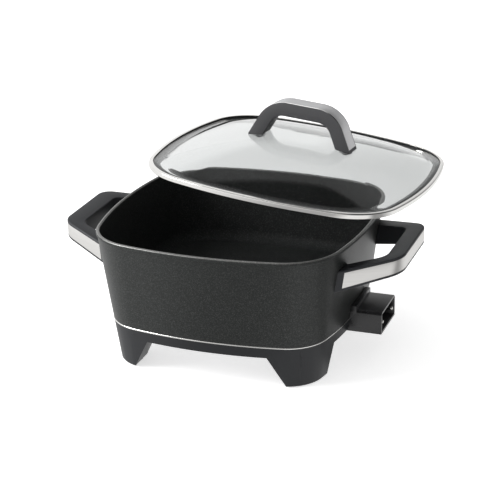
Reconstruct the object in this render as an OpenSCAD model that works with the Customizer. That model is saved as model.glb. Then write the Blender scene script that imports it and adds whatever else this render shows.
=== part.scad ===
// Deep square electric skillet with a loose domed glass lid.
// The origin is on the table under the middle of the pan. X runs to the socket side, Z is up.
// The rim line is a square drawn with eight tangent arcs, and each wall, ring or ledge follows it.
// In a section of such a piece, x is the distance outside the rim line and y is the height.

/* [Pan] */
// Width of the pan over its rim, the same both ways
pan_w = 300; // [280:1:330]
// Radius of the gentle curve of each side
side_r = 460; // [400:5:700]
// Radius of the rim's corners
corner_r = 65; // [60:1:80]
// Height of the rim over the table
rim_h = 155; // [145:1:175]
// How far the outer wall leans in for each millimetre down
draft = 0.14; // [0.1:0.01:0.16]
// Thickness of the cast wall
pan_wall = 3.5; // [2.5:0.1:5]
// How far the bead under the rim stands out of the wall
bead_out = 0.6; // [0.4:0.1:1.5]
// Height of the bead, from the rim down
bead_h = 4.5; // [3.5:0.1:8]
// Height of the well's floor above the table
floor_top = 66; // [64:0.5:80]
// Thickness of the pan's floor
floor_t = 6; // [4:0.5:7]
// Radius of the cove between floor and wall
cove_r = 16; // [8:1:24]

/* [Base] */
// Height of the joint between pan and base
joint_h = 50; // [46:1:52]
// Height of the bright trim ring in that joint
trim_h = 2; // [1:0.1:3]
// How far the trim ring stands out of the wall
trim_out = 0.5; // [0.2:0.1:1]
// Lower edge of the skirt between the legs
skirt_low = 37; // [30:1:42]
// Thickness of the skirt and leg walls
skirt_wall = 3; // [2:0.5:4]
// Width of the shelf inside the top of the skirt
shelf_w = 11; // [8:1:14]
// Distance from the rim line in to the inner faces of the legs
leg_in = 51; // [48:1:54]
// Gap between the front legs at the skirt
front_gap_top = 140; // [120:1:160]
// Gap between the front legs at the table
front_gap_low = 180; // [162:1:184]
// Gap between the legs of one side at the skirt
side_gap_top = 132; // [110:1:140]
// Gap between the legs of one side at the table
side_gap_low = 146; // [142:1:170]
// Thickness of the leg's floor
leg_floor = 3; // [2:0.5:5]

/* [Feet and base screws] */
// Distance from the rim line in to each foot
foot_in = 36; // [34:0.5:38]
// Radius of the screw tower in each leg
tower_r = 6.2; // [5.8:0.1:7]
// Radius of the screw well inside the tower
well_r = 4.2; // [3.8:0.1:4.4]
// Radius of a base screw's shank
base_screw_r = 2; // [1.5:0.1:2.2]
// Radius of a base screw's head
base_head_r = 3.6; // [3:0.1:3.7]
// Height of a base screw's head
base_head_h = 2.6; // [2:0.1:4]
// Radius of the rubber foot
pad_r = 8; // [7:0.5:9]
// Height of the rubber foot under the leg
pad_h = 1.5; // [1:0.1:3]
// Height of the plug that holds the rubber foot
plug_h = 4; // [3:0.5:8]

/* [Heating element] */
// Distance from the rim line in to the middle of the element
element_in = 45; // [43:0.5:46]
// Radius of the element's tube
element_r = 3.4; // [3:0.1:3.8]
// Height of the element's middle over the table
element_z = 55.2; // [55:0.1:56]
// Radius of the bends where the element turns out to the socket
bend_r = 10; // [8:0.5:12]
// Distance between the two terminal pins
pin_pitch = 40; // [36:1:42]
// Height of the terminal pins over the table
pin_z = 48; // [46:0.5:50]
// Radius of a terminal pin
pin_r = 2.35; // [2:0.05:2.6]
// Distance from the rim line out to the tips of the pins
pin_reach = 21.5; // [12:0.5:22]
// Radius of an insulating bead
bead_r = 4.2; // [3.8:0.1:5]
// Length of an insulating bead
bead_len = 6; // [4:0.5:8]

/* [Sensor well] */
// Bore of the sensor well
sensor_r = 3.2; // [2.5:0.1:3.6]
// Depth of the bore
sensor_depth = 60; // [40:1:64]
// Height of the bore over the table
sensor_z = 52; // [50:0.5:53]
// Width of the bored bar
sensor_bar_w = 12; // [10:0.5:14]
// Metal under the bore
sensor_under = 1.8; // [1:0.1:3]
// Solid end of the bar behind the bore
sensor_end = 5; // [2:0.5:8]

/* [Socket] */
// Width of the socket
socket_w = 58; // [54:1:62]
// Height of the socket's underside over the table
socket_low = 36; // [34:1:37]
// Height of the socket
socket_h = 26; // [24:1:28]
// Distance from the rim line out to the socket's mouth
socket_reach = 21.5; // [20:0.5:30]
// Wall of the socket
socket_wall = 2.5; // [2:0.1:3]
// Bevel along the socket's upper edges
socket_bevel = 3; // [1:0.5:4]
// Height of the collar
collar_h = 30.5; // [28:0.5:34]
// Distance from the rim line in to the collar's outer face
collar_in = 7.5; // [6:0.5:9]
// Radius of the two screws that hold the socket
socket_screw_r = 1.5; // [1.2:0.1:1.7]
// Distance between those screws
socket_screw_pitch = 22; // [20:0.5:24]

/* [Side handles] */
// Distance from the rim line out to the grip's outer face
grip_out = 50.8; // [45:0.2:60]
// Thickness of the grip
grip_t = 20.4; // [15:0.2:22]
// Width over the arms at the rim line
arms_w = 158; // [150:1:166]
// Width of an arm at its root
arm_w = 20.4; // [18.5:0.1:24]
// Angle by which the arms' outer faces draw in
arms_splay = 26.5; // [20:0.5:32]
// Angle by which the arms' inner faces draw in
arms_in_splay = 22.3; // [15:0.1:26]
// Outer corner radius of the grip
grip_r = 23; // [14:1:26]
// Inner corner radius of the grip
grip_in_r = 16; // [8:1:18]
// Drop from the rim to the handle's top at the rim line
handle_drop = 23; // [18:1:28]
// Rise of the handle's top for each millimetre out
top_rise = 0.2; // [0:0.01:0.3]
// Thickness of the handle at the rim line
handle_t = 23; // [20:0.5:26]
// Rise of the handle's underside for each millimetre out
low_rise = 0.26; // [0.05:0.01:0.3]
// Thickness of the steel band
steel_t = 0.8; // [0.5:0.1:1.5]
// Bare edge of the handle above the band
steel_top = 3; // [0.5:0.1:4]
// Bare edge of the handle under the band
steel_low = 3; // [1:0.1:4]
// Distance from the rim line to the start of the band
steel_start = -5.5; // [-7:0.5:2]
// Length of the pan's lug inside each arm, from the rim line
lug_out = 10; // [8:0.5:12]
// Width of the lug
lug_w = 8; // [7:0.5:9]
// Height of the lug
lug_h = 11; // [9:0.5:12]
// Radius of a handle screw's shank
handle_screw_r = 2; // [1.5:0.1:2.2]
// Radius of a handle screw's head
handle_head_r = 3.8; // [3.2:0.1:4.2]
// Height of a handle screw's head
handle_head_h = 2; // [1.5:0.1:3]
// Thickness of the handle between a screw's head and the lug
handle_web = 2.9; // [2:0.1:4]
// Length of a handle screw's shank
handle_screw_len = 12; // [8:0.5:12.5]

/* [Lid] */
// How far the lid reaches over the rim line
lid_over = 4; // [3.5:0.1:6]
// Height of the steel rim of the lid
lid_band_h = 6; // [4.6:0.1:7]
// Thickness of that steel
lid_band_t = 0.6; // [0.4:0.1:0.8]
// Outer bend radius of that steel
lid_bend_r = 1.4; // [1:0.1:2]
// Width of the rim's upper lip over the glass
lid_lip_top = 4.5; // [3.5:0.1:8]
// Width of the rim's lower lip, which rests on the pan
lid_lip_low = 8.5; // [7.5:0.1:9.5]
// Thickness of the silicone lining round the glass
gasket_t = 0.6; // [0.3:0.1:0.7]
// Depth of the locating lip inside the pan
lip_depth = 2; // [1:0.1:2.5]
// Distance from the rim line in to the locating lip
lip_in = 7.5; // [7:0.1:9]
// Thickness of the locating lip
lip_t = 1.6; // [1:0.1:2.5]
// Height of the glass's middle over the underside of the lid
glass_top = 32.8; // [24:0.2:36]
// Share of the glass that is flat on top
flat_share = 0.1; // [0.05:0.01:0.2]
// How full the shoulder of the glass is
shoulder = 1.8; // [1.5:0.1:2.2]

/* [Lid handle] */
// Width of the arch over its feet
arch_w = 122; // [110:1:126]
// Height of the arch over the glass pads
arch_h = 42.6; // [38:0.2:55]
// Width of each foot
foot_w = 17; // [15:0.5:22]
// Thickness of the arch at its top
arch_t = 15.8; // [12:0.2:20]
// Depth of the arch, front to back
arch_d = 25; // [20:1:30]
// Lean of the legs, in degrees
arch_lean = 26; // [10:1:30]
// Outer bend radius of the arch
arch_r = 36.6; // [24:0.2:40]
// Inner bend radius of the arch
arch_in_r = 17; // [8:1:20]
// Thickness of the bright strip
inlay_t = 1; // [0.6:0.1:2]
// Bare edge on each side of the strip
inlay_edge = 1; // [0.8:0.1:4]
// Height of the ends of the strip over the foot
inlay_foot = 1.8; // [0.5:0.1:4]
// Thickness of the pads under the feet
arch_pad_t = 1; // [0.5:0.1:2]
// Radius of a lid screw's shank
lid_screw_r = 2; // [1.5:0.1:2.5]
// Radius of a lid screw's head
lid_head_r = 4; // [3.5:0.1:5]
// Height of a lid screw's head
lid_head_h = 2.4; // [1.5:0.1:3]
// Length of a lid screw inside the foot
lid_screw_in = 7.5; // [5:0.5:9]
// Radius of a washer under the glass
washer_r = 7.5; // [6:0.5:9]
// Thickness of a washer
washer_t = 1; // [0.6:0.1:2]

/* [Lifted lid] */
// Turn that carries the lid from the rim to its lifted place
lift_turn = 6.56; // [0:0.01:8]
// The far pole that the lift turns about: distance to the socket side of the pan's middle
pole_x = 517.4; // [500:0.1:530]
// Its distance in front of the pan's middle
pole_y = 29.1; // [20:0.1:40]
// Its distance under the rim
pole_drop = 502.9; // [490:0.1:515]

/* [Clearances] */
// Gap between pieces of one body that are fitted together
fit = 0.1; // [0.05:0.05:0.2]
// Gap between the closed lid and the rim
lid_gap = 0.3; // [0.2:0.1:0.5]
// Radial play of a screw in its hole
screw_play = 0.3; // [0.2:0.1:0.5]

/* [Hidden] */

// Facets to a full turn: along the rim line, and for small round things
line_fn = 240;
round_fn = 48;
// A little more than enough, where a cut runs past a face
over = 1;

half = pan_w / 2;
// The corner arcs' centres, and the half angle of a side arc
corner_c = (half - side_r + sqrt(2 * pow(side_r - corner_r, 2) - pow(side_r - half, 2))) / 2;
side_a = atan2(corner_c, corner_c + side_r - half);
// Distance from the rim line in to where floors are flat
core_in = corner_r - 5;
pan_low = joint_h + trim_h / 2;
base_top = joint_h - trim_h / 2;
floor_low = floor_top - floor_t;
// Rim: a full round that runs into both faces of the wall
rim_r = (bead_out + pan_wall) / (2 - draft);

// Outer and inner faces of the pan's wall at height z, from the rim line
function wall_out(z) = -bead_out - draft * (rim_h - z);
function wall_in(z) = wall_out(z) - pan_wall;
// Points of an arc in equal steps, without its last point
function arc(c, r, from, turn, steps) = [
    for (i = [0:steps - 1]) c + r * [cos(from + turn * i / steps), sin(from + turn * i / steps)]
];

// Points of the rim line grown by d, at height z: side arc and corner arc in turn, four times
side_steps = 8;
corner_steps = 10;
function turned(points, a) = [
    for (p = points) [p.x * cos(a) - p.y * sin(a), p.x * sin(a) + p.y * cos(a)]
];
function line(d, z) = [
    for (q = [0:3]) each [
        for (p = turned(concat(
            arc([half - side_r, 0], side_r + d, -side_a, 2 * side_a, side_steps),
            arc([corner_c, corner_c], corner_r + d, side_a, 90 - 2 * side_a, corner_steps)
        ), 90 * q)) [p.x, p.y, z]
    ]
];

// Faces between rings of n points each, from ring k to ring next
function wall_faces(k, next, n) = [
    for (i = [0:n - 1]) let (j = (i + 1) % n)
        each [[k * n + j, k * n + i, next * n + i], [k * n + j, next * n + i, next * n + j]]
];

// A solid skin over rings of points, with flat ends
module skin(rings) {
    n = len(rings[0]);
    last = len(rings) - 1;
    polyhedron(
        points = [for (ring = rings) each ring],
        faces = concat(
            [[for (i = [0:n - 1]) i]],
            [for (k = [0:last - 1]) each wall_faces(k, k + 1, n)],
            [[for (i = [n - 1:-1:0]) last * n + i]]
        ),
        convexity = 6
    );
}

// A solid whose side runs through the given points of a section
module solid(section) {
    skin([for (p = section) line(p.x, p.y)]);
}

// A ring with the given closed section, which runs anticlockwise
module ring(section) {
    rings = [for (p = section) line(p.x, p.y)];
    n = len(rings[0]);
    last = len(rings) - 1;
    polyhedron(
        points = [for (r = rings) each r],
        faces = [for (k = [0:last]) each wall_faces(k, (k + 1) % (last + 1), n)],
        convexity = 6
    );
}

// Everything inside the pan's outer wall on the socket side, grown by gap
module wall_side(low, high, gap) {
    translate([half - side_r, 0, low])
        cylinder(h = high - low, r1 = side_r + wall_out(low) + gap,
                 r2 = side_r + wall_out(high) + gap, $fn = line_fn);
}

// Copies something to all four corners
module corners(at) {
    for (x = [-at, at], y = [-at, at]) {
        translate([x, y]) children();
    }
}

// Pan

cove_z = floor_top + cove_r;
cove_x = wall_in(cove_z) - cove_r * sqrt(1 + draft * draft);
lean = atan(draft);
foot_at = corner_c + (corner_r - foot_in) / sqrt(2);
rim_z = rim_h - rim_r;
rim_steps = 6;
cove_steps = 6;

// Cast ridge under the floor, with the groove that the element lies in
ridge_w = 2 * element_r + 6;
groove_w = 2 * (element_r + fit);
ridge_low = element_z - over;
groove_top = element_z + element_r + fit;
ridge_section = [
    [-element_in - ridge_w / 2, floor_low], [-element_in - ridge_w / 2, ridge_low],
    [-element_in - groove_w / 2, ridge_low], [-element_in - groove_w / 2, groove_top],
    [-element_in + groove_w / 2, groove_top], [-element_in + groove_w / 2, ridge_low],
    [-element_in + ridge_w / 2, ridge_low], [-element_in + ridge_w / 2, floor_low]
];

// The whole section of the pan, from under its floor round the rim to the floor of the well
pan_section = concat(
    [[-core_in, floor_low]],
    ridge_section,
    [
        [wall_in(floor_low), floor_low],
        [wall_in(pan_low), pan_low], [wall_out(pan_low), pan_low],
        [wall_out(rim_h - bead_h), rim_h - bead_h], [0, rim_h - bead_h + bead_out]
    ],
    arc([-rim_r, rim_z], rim_r, 0, 180, rim_steps),
    [[-2 * rim_r, rim_z]],
    arc([cove_x, cove_z], cove_r, -lean, lean - 90, cove_steps),
    [[cove_x, floor_top], [-core_in, floor_top]]
);

arms_in_w = arms_w - 2 * arm_w;
// The lugs lie in the arms: clear of the steel at their tips, and of the gap at the wall
lug_y = (arms_w + arms_in_w - 2 * steel_t + 2 * lug_out * (tan(arms_in_splay) - tan(arms_splay))) / 4;
lug_z = rim_h - handle_drop - handle_t / 2 + 1;
lug_root = 4 * pan_wall;
module lugs(grow) {
    for (s = [-1, 1]) {
        translate([half - lug_root - grow, s * lug_y - lug_w / 2 - grow, lug_z - lug_h / 2 - grow])
            cube([lug_root + lug_out + 2 * grow, lug_w + 2 * grow, lug_h + 2 * grow]);
    }
}
screw_x = half + lug_out / 2 + 1;
end_room = pin_pitch + 2 * (bend_r + element_r);

module pan() color([0.24, 0.24, 0.25]) {
    difference() {
        union() {
            difference() {
                solid(pan_section);
                // Room for the element's ends on the socket side
                translate([half - element_in - ridge_w, -end_room / 2, ridge_low - over])
                    cube([2 * ridge_w, end_room, floor_low - ridge_low + over + fit]);
            }
            corners(foot_at) {
                translate([0, 0, base_top]) cylinder(h = floor_low - base_top + over, r = tower_r - 1, $fn = round_fn);
            }
            for (s = [-1, 1]) {
                translate([tongue_x - socket_boss_len, s * socket_screw_pitch / 2, socket_screw_z]) {
                    rotate([0, 90, 0]) cylinder(h = socket_boss_len, r = socket_boss_r, $fn = round_fn);
                    translate([0, -socket_boss_r, 0])
                        cube([socket_boss_len, 2 * socket_boss_r, floor_low - socket_screw_z + over]);
                }
            }
            for (side = [0, 180]) {
                rotate([0, 0, side]) difference() {
                    lugs(0);
                    wall_side(lug_z - lug_h, lug_z + lug_h, -pan_wall / 2);
                }
            }
        }
        // Notch in the lower edge for the socket's tongue
        translate([tongue_x, -socket_w / 2 - fit, pan_low - over])
            cube([half, socket_w + 2 * fit, floor_low - pan_low + over]);
        // Screw holes
        corners(foot_at) {
            translate([0, 0, base_top - over])
                cylinder(h = base_screw_top + 2 * over - base_top, r = base_screw_r, $fn = round_fn);
        }
        for (s = [-1, 1]) {
            translate([tongue_x - socket_screw_len, s * socket_screw_pitch / 2, socket_screw_z])
                rotate([0, 90, 0]) cylinder(h = socket_screw_len + over, r = socket_screw_r, $fn = round_fn);
            for (side = [0, 180]) {
                rotate([0, 0, side]) translate([screw_x, s * lug_y, lug_z - lug_h])
                    cylinder(h = 1.5 * lug_h - over, r = handle_screw_r, $fn = round_fn);
            }
        }
    }
}

sensor_low = sensor_z - sensor_r - sensor_under;

// Heating element: one tube round the floor, with both ends turned out to the socket

dip_in = half - element_in + bend_r + 1;
dip_out = dip_in + 9;
sheath_end = half - 18;
knuckle_out = 0.01;
open_a = asin((pin_pitch / 2 + bend_r) / (side_r - element_in));

// Its lengths of tube meet in round knuckles, a hair thicker than the tube
module element_tube(r) {
    loop = half - side_r;
    at_side = loop + (side_r - element_in) * cos(open_a);
    module bar(radius, from, turn) rotate([0, 0, from]) rotate_extrude(angle = turn, $fn = line_fn)
        translate([radius, 0]) circle(r, $fn = round_fn);
    module knuckle() sphere(r + knuckle_out, $fn = round_fn);
    translate([0, 0, element_z]) {
        for (q = [0:3]) {
            rotate([0, 0, 90 * q]) {
                translate([corner_c, corner_c]) {
                    bar(corner_r - element_in, side_a, 90 - 2 * side_a);
                    for (a = [side_a, 90 - side_a]) {
                        rotate([0, 0, a]) translate([corner_r - element_in, 0]) knuckle();
                    }
                }
                if (q > 0) {
                    translate([loop, 0]) bar(side_r - element_in, -side_a, 2 * side_a);
                }
            }
        }
    }
    for (s = [0, 1]) {
        mirror([0, s, 0]) {
            // The rest of the socket side, the bend and the straight end
            translate([loop, 0, element_z]) bar(side_r - element_in, open_a, side_a - open_a);
            translate([at_side + bend_r, pin_pitch / 2 + bend_r, element_z]) {
                bar(bend_r, 180, 90);
                translate([-bend_r, 0]) knuckle();
                translate([0, -bend_r]) knuckle();
            }
            rod([at_side + bend_r, element_z], [dip_in, element_z], r);
            rod([dip_in, element_z], [dip_out, pin_z], r);
            rod([dip_out, pin_z], [sheath_end, pin_z], r);
            translate([dip_in, pin_pitch / 2, element_z]) knuckle();
            translate([dip_out, pin_pitch / 2, pin_z]) knuckle();
        }
    }
}

// A straight round rod at the pins' place, from one [x, z] to another
module rod(from, to, r) {
    run = to - from;
    translate([from.x, pin_pitch / 2, from.y])
        rotate([0, 90 - atan2(run.y, run.x), 0])
            cylinder(h = norm(run), r = r, $fn = round_fn);
}

module heating_element() color([0.42, 0.41, 0.40]) {
    element_tube(element_r);
}

neck_r = pin_r / 2;
module pin_insulators() color([0.90, 0.88, 0.82]) {
    for (s = [-1, 1]) {
        translate([sheath_end, s * pin_pitch / 2, pin_z]) rotate([0, 90, 0]) difference() {
            cylinder(h = bead_len, r = bead_r, $fn = round_fn);
            translate([0, 0, -over]) cylinder(h = bead_len + 2 * over, r = neck_r + fit, $fn = round_fn);
        }
    }
}

module terminal_pins() color([0.82, 0.82, 0.80]) {
    root = sheath_end + bead_len;
    tip = half + pin_reach - pin_r;
    for (s = [-1, 1]) {
        translate([0, s * pin_pitch / 2, pin_z]) rotate([0, 90, 0]) {
            translate([0, 0, sheath_end]) cylinder(h = bead_len + over, r = neck_r, $fn = round_fn);
            translate([0, 0, root]) cylinder(h = tip - root, r = pin_r, $fn = round_fn);
            translate([0, 0, tip]) sphere(pin_r, $fn = round_fn);
        }
    }
}

module sensor_well() color([0.62, 0.62, 0.63]) {
    length = sensor_depth + sensor_end;
    difference() {
        translate([tongue_x - length, -sensor_bar_w / 2, sensor_low])
            cube([length, sensor_bar_w, floor_low - sensor_low]);
        translate([tongue_x - sensor_depth, 0, sensor_z]) rotate([0, 90, 0])
            cylinder(h = sensor_depth + over, r = sensor_r, $fn = round_fn);
    }
}

// Base

// Everything inside the base's outer face between two heights, brought in by t
module base_solid(low, high, t) {
    solid([[wall_out(low) - t, low], [wall_out(high) - t, high]]);
}

// The space between two legs, as a trapezoid across the whole base
module leg_gap(top_w, low_w) {
    low_half = low_w - top_w / 2;
    rotate([90, 0, 0]) linear_extrude(3 * half, center = true) polygon([
        [-low_half, -skirt_low], [low_half, -skirt_low],
        [top_w / 2, skirt_low], [top_w / 2, base_top + over],
        [-top_w / 2, base_top + over], [-top_w / 2, skirt_low]
    ]);
}

// Both pairs of leg gaps, each grown by g on both sides
module leg_gaps(g) {
    leg_gap(front_gap_top + 2 * g, front_gap_low + 2 * g);
    rotate([0, 0, 90]) leg_gap(side_gap_top + 2 * g, side_gap_low + 2 * g);
}

module base_skirt() color([0.16, 0.16, 0.17]) {
    difference() {
        union() {
            // Four hollow legs, open at the top
            difference() {
                base_solid(pad_h, base_top, 0);
                solid([[-leg_in, 0], [-leg_in, base_top + over]]);
                leg_gaps(0);
                difference() {
                    base_solid(pad_h + leg_floor, base_top + over, skirt_wall);
                    solid([[-leg_in + skirt_wall, 0], [-leg_in + skirt_wall, base_top + 2 * over]]);
                    leg_gaps(skirt_wall);
                }
            }
            // Skirt wall and the shelf that the pan stands on
            ring([
                [wall_out(skirt_low) - skirt_wall, skirt_low], [wall_out(skirt_low), skirt_low],
                [wall_out(base_top), base_top], [wall_out(base_top) - shelf_w, base_top],
                [wall_out(base_top) - shelf_w, base_top - skirt_wall],
                [wall_out(base_top) - skirt_wall, base_top - skirt_wall]
            ]);
            corners(foot_at) {
                translate([0, 0, pad_h]) cylinder(h = base_top - pad_h, r = tower_r, $fn = round_fn);
            }
        }
        // Screw wells, open at the table
        corners(foot_at) {
            translate([0, 0, -over]) cylinder(h = base_top - skirt_wall + over, r = well_r, $fn = round_fn);
            cylinder(h = base_top + over, r = base_screw_r + screw_play, $fn = round_fn);
        }
        // Gap for the socket and for the element's ends
        translate([dip_in, -socket_w / 2 - fit, socket_low - over])
            cube([half, socket_w + 2 * fit, base_top]);
    }
}

trim_steps = 4;
module trim_ring() color([0.90, 0.90, 0.91]) {
    difference() {
        ring(concat(
            [[wall_out(joint_h) - skirt_wall, base_top]],
            arc([wall_out(joint_h) + trim_out - trim_h / 2, joint_h], trim_h / 2, -90, 180, trim_steps),
            [
                [wall_out(joint_h) + trim_out - trim_h / 2, base_top + trim_h],
                [wall_out(joint_h) - skirt_wall, base_top + trim_h]
            ]
        ));
        translate([tongue_x, -socket_w / 2 - fit, base_top - over])
            cube([half, socket_w + 2 * fit, trim_h + 2 * over]);
    }
}

module foot_pads() color([0.08, 0.08, 0.08]) {
    corners(foot_at) {
        cylinder(h = pad_h, r = pad_r, $fn = round_fn);
        translate([0, 0, pad_h]) cylinder(h = plug_h, r = well_r - fit, $fn = round_fn);
    }
}

head_z = base_top - skirt_wall;
base_screw_top = floor_low + 1;
module base_screws() color([0.60, 0.60, 0.62]) {
    corners(foot_at) {
        translate([0, 0, head_z]) mirror([0, 0, 1])
            screw(base_screw_top - head_z, base_screw_r - fit, base_head_r, base_head_h);
    }
}

// Socket

tongue_x = half - 22;
socket_back = 3;
socket_x = half + socket_reach;
socket_top = socket_low + socket_h;
collar_x = half - collar_in;
socket_head_h = 1.8;
socket_head_r = 2.6;
socket_screw_z = floor_low - fit - socket_wall - socket_head_r - 2 * fit;
socket_boss_r = 4;
socket_boss_len = 16;
socket_screw_len = 12;

module connector_shroud() color([0.15, 0.15, 0.16]) {
    roof_x = half + wall_out(floor_low) + fit + socket_wall;
    difference() {
        union() {
            // Socket with bevelled upper edges
            translate([tongue_x, 0, 0]) rotate([90, 0, 90]) linear_extrude(socket_x - tongue_x) polygon([
                [-socket_w / 2, socket_low], [socket_w / 2, socket_low],
                [socket_w / 2, socket_top - socket_bevel], [socket_w / 2 - socket_bevel, socket_top],
                [-socket_w / 2 + socket_bevel, socket_top], [-socket_w / 2, socket_top - socket_bevel]
            ]);
            // Collar against the pan's wall
            translate([tongue_x, -socket_w / 2, socket_low]) cube([collar_x - tongue_x, socket_w, collar_h]);
        }
        // The pan above its notch
        wall_side(floor_low - fit, socket_low + collar_h + over, fit);
        // Room for the probe: lower under the pan, full height outside it, open at the mouth
        for (room = [[tongue_x + socket_back, floor_low - fit], [roof_x, socket_top]]) {
            translate([room[0], -socket_w / 2 + socket_wall, socket_low + socket_wall])
                cube([half, socket_w - 2 * socket_wall, room[1] - socket_low - 2 * socket_wall]);
        }
        // Holes in the back for the pins, the probe's rod and the two screws
        for (s = [-1, 1]) {
            translate([tongue_x - over, s * pin_pitch / 2, pin_z]) rotate([0, 90, 0])
                cylinder(h = socket_back + 2 * over, r = bead_r + screw_play, $fn = round_fn);
            translate([tongue_x - over, s * socket_screw_pitch / 2, socket_screw_z]) rotate([0, 90, 0])
                cylinder(h = socket_back + 2 * over, r = socket_screw_r + screw_play, $fn = round_fn);
        }
        translate([tongue_x - over, 0, sensor_z]) rotate([0, 90, 0])
            cylinder(h = socket_back + 2 * over, r = sensor_r + screw_play, $fn = round_fn);
    }
}

module shroud_screws() color([0.66, 0.66, 0.68]) {
    for (s = [-1, 1]) {
        translate([tongue_x + socket_back, s * socket_screw_pitch / 2, socket_screw_z]) rotate([0, 90, 0])
            screw(socket_screw_len + socket_back - over, socket_screw_r - fit, socket_head_r, socket_head_h);
    }
}

// A screw with its head's underside at the origin, its shank down and its head up along Z
module screw(length, shank, head, head_h) {
    translate([0, 0, -length]) cylinder(h = length, r = shank, $fn = round_fn);
    difference() {
        cylinder(h = head_h, r = head, $fn = round_fn);
        translate([0, 0, head_h / 2]) cylinder(h = head_h, r = head / 2, $fn = 6);
    }
}

// Side handles

// Outline of a handle in its plane: two arms that start tail behind the origin and draw in
// by a splay angle, and a grip across their ends. It is grown by d.
grip_steps = 10;
module yoke(w, splay, reach, r, tail, d) {
    x = reach - r;
    y = w / 2 - x * tan(splay) - r / cos(splay);
    bend = [x, y] + (r + d) * [sin(splay), cos(splay)];
    root = w / 2 + tail * tan(splay) + d / cos(splay);
    polygon(concat(
        [[-tail, -root]],
        arc([x, -y], r + d, splay - 90, 90 - splay, grip_steps), [[reach + d, -y]],
        arc([x, y], r + d, 0, 90 - splay, grip_steps), [bend, [-tail, root]]
    ));
}

handle_tail = 20;
function handle_top(x) = rim_h - handle_drop + top_rise * (x - half);
function handle_low(x) = rim_h - handle_drop - handle_t + low_rise * (x - half);

// Everything between the handle's underside and top, less low and high. It starts at x at the
// top, and its start leans as the pan's wall does.
module handle_layer(from, low, high) {
    to = half + grip_out + over;
    foot = from - draft * (handle_top(from) - handle_low(from));
    rotate([90, 0, 0]) linear_extrude(arms_w + 2 * handle_tail, center = true) polygon([
        [foot, handle_low(foot) + low], [to, handle_low(to) + low],
        [to, handle_top(to) - high], [from, handle_top(from) - high]
    ]);
}

// The outer skin of the handle, from depth t under its surface out to d over it
module handle_skin(t, d) {
    translate([half, 0, handle_low(half) - over]) linear_extrude(2 * handle_t) difference() {
        yoke(arms_w, arms_splay, grip_out, grip_r, handle_tail, d);
        yoke(arms_w, arms_splay, grip_out, grip_r, handle_tail + over, -t);
    }
}

handle_seat = lug_z - lug_h / 2 - fit - handle_web;
module handle() {
    difference() {
        intersection() {
            translate([half, 0, handle_low(half - handle_tail)]) linear_extrude(2 * handle_t) difference() {
                yoke(arms_w, arms_splay, grip_out, grip_r, handle_tail, 0);
                yoke(arms_in_w, arms_in_splay, grip_out - grip_t, grip_in_r, handle_tail + over, 0);
            }
            handle_layer(half - handle_tail, 0, 0);
        }
        wall_side(handle_low(half) - handle_t, rim_h, fit);
        lugs(fit);
        // Seat of the steel band
        intersection() {
            handle_skin(steel_t + fit, over);
            handle_layer(half + steel_start - fit, steel_low - fit, steel_top - fit);
        }
        for (s = [-1, 1]) {
            translate([screw_x, s * lug_y, handle_seat]) {
                cylinder(h = lug_h, r = handle_screw_r + screw_play, $fn = round_fn);
                translate([0, 0, -handle_t]) cylinder(h = handle_t, r = handle_head_r + screw_play, $fn = round_fn);
            }
        }
    }
}

module handle_band() {
    intersection() {
        handle_skin(steel_t, 0);
        handle_layer(half + steel_start, steel_low, steel_top);
    }
}

module handle_screws() {
    for (s = [-1, 1]) {
        translate([screw_x, s * lug_y, handle_seat]) mirror([0, 0, 1])
            screw(handle_screw_len, handle_screw_r - fit, handle_head_r, handle_head_h);
    }
}

module right_handle() color([0.17, 0.17, 0.18]) handle();
module left_handle() color([0.17, 0.17, 0.18]) mirror([1, 0, 0]) handle();
module right_handle_band() color([0.78, 0.78, 0.77]) handle_band();
module left_handle_band() color([0.78, 0.78, 0.77]) mirror([1, 0, 0]) handle_band();
module right_handle_screws() color([0.66, 0.66, 0.68]) handle_screws();
module left_handle_screws() color([0.66, 0.66, 0.68]) mirror([1, 0, 0]) handle_screws();

// Lid. Its own frame has the underside of its steel rim at z = 0 and its middle on the Z axis.

// The lid is loose. Its lift from the rim to the place over the pan is one turn about a far pole.
lift_axis = [-0.3578, 0.8359, -0.4162];
lift_pole = [pole_x, -pole_y, rim_h - pole_drop];
module lifted() {
    translate(lift_pole) rotate(a = lift_turn, v = lift_axis) translate(-lift_pole)
        translate([0, 0, rim_h + lid_gap]) children();
}

glass_out = lid_over - lid_band_t - gasket_t;
glass_low = lid_band_t + gasket_t;
glass_t = lid_band_h - 2 * glass_low;

// Half of a channel section that is open towards the pan: its outer side, from below to above
function channel(out, low, high, r) = concat(
    arc([out - r, low + r], r, -90, 90, bend_steps), [[out, low + r]],
    arc([out - r, high - r], r, 0, 90, bend_steps), [[out - r, high]]
);
function reversed(points) = [for (i = [len(points) - 1:-1:0]) points[i]];
bend_steps = 2;
lip_low = lid_over - lid_lip_low;
lip_top = lid_over - lid_lip_top;
band_in = [lid_over - lid_band_t, lid_band_t, lid_band_h - lid_band_t, lid_bend_r - lid_band_t];

module lid_band() color([0.85, 0.85, 0.84]) lifted() {
    ring(concat(
        [[lip_low, 0]],
        channel(lid_over, 0, lid_band_h, lid_bend_r),
        [[lip_top, lid_band_h], [lip_top, lid_band_h - lid_band_t]],
        reversed(channel(band_in[0], band_in[1], band_in[2], band_in[3])),
        [[lip_low, lid_band_t]]
    ));
}

module lid_gasket() color([0.12, 0.12, 0.12]) lifted() {
    ring(concat(
        // Lip that keeps the lid in place in the pan
        [[-lip_in - lip_t, -lip_depth], [-lip_in, -lip_depth], [-lip_in, lid_band_t]],
        channel(band_in[0], band_in[1], band_in[2], band_in[3]),
        [
            [lip_top, lid_band_h - lid_band_t], [lip_top, glass_low + glass_t],
            [glass_out, glass_low + glass_t], [glass_out, glass_low], [-lip_in - lip_t, glass_low]
        ]
    ));
}

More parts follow.
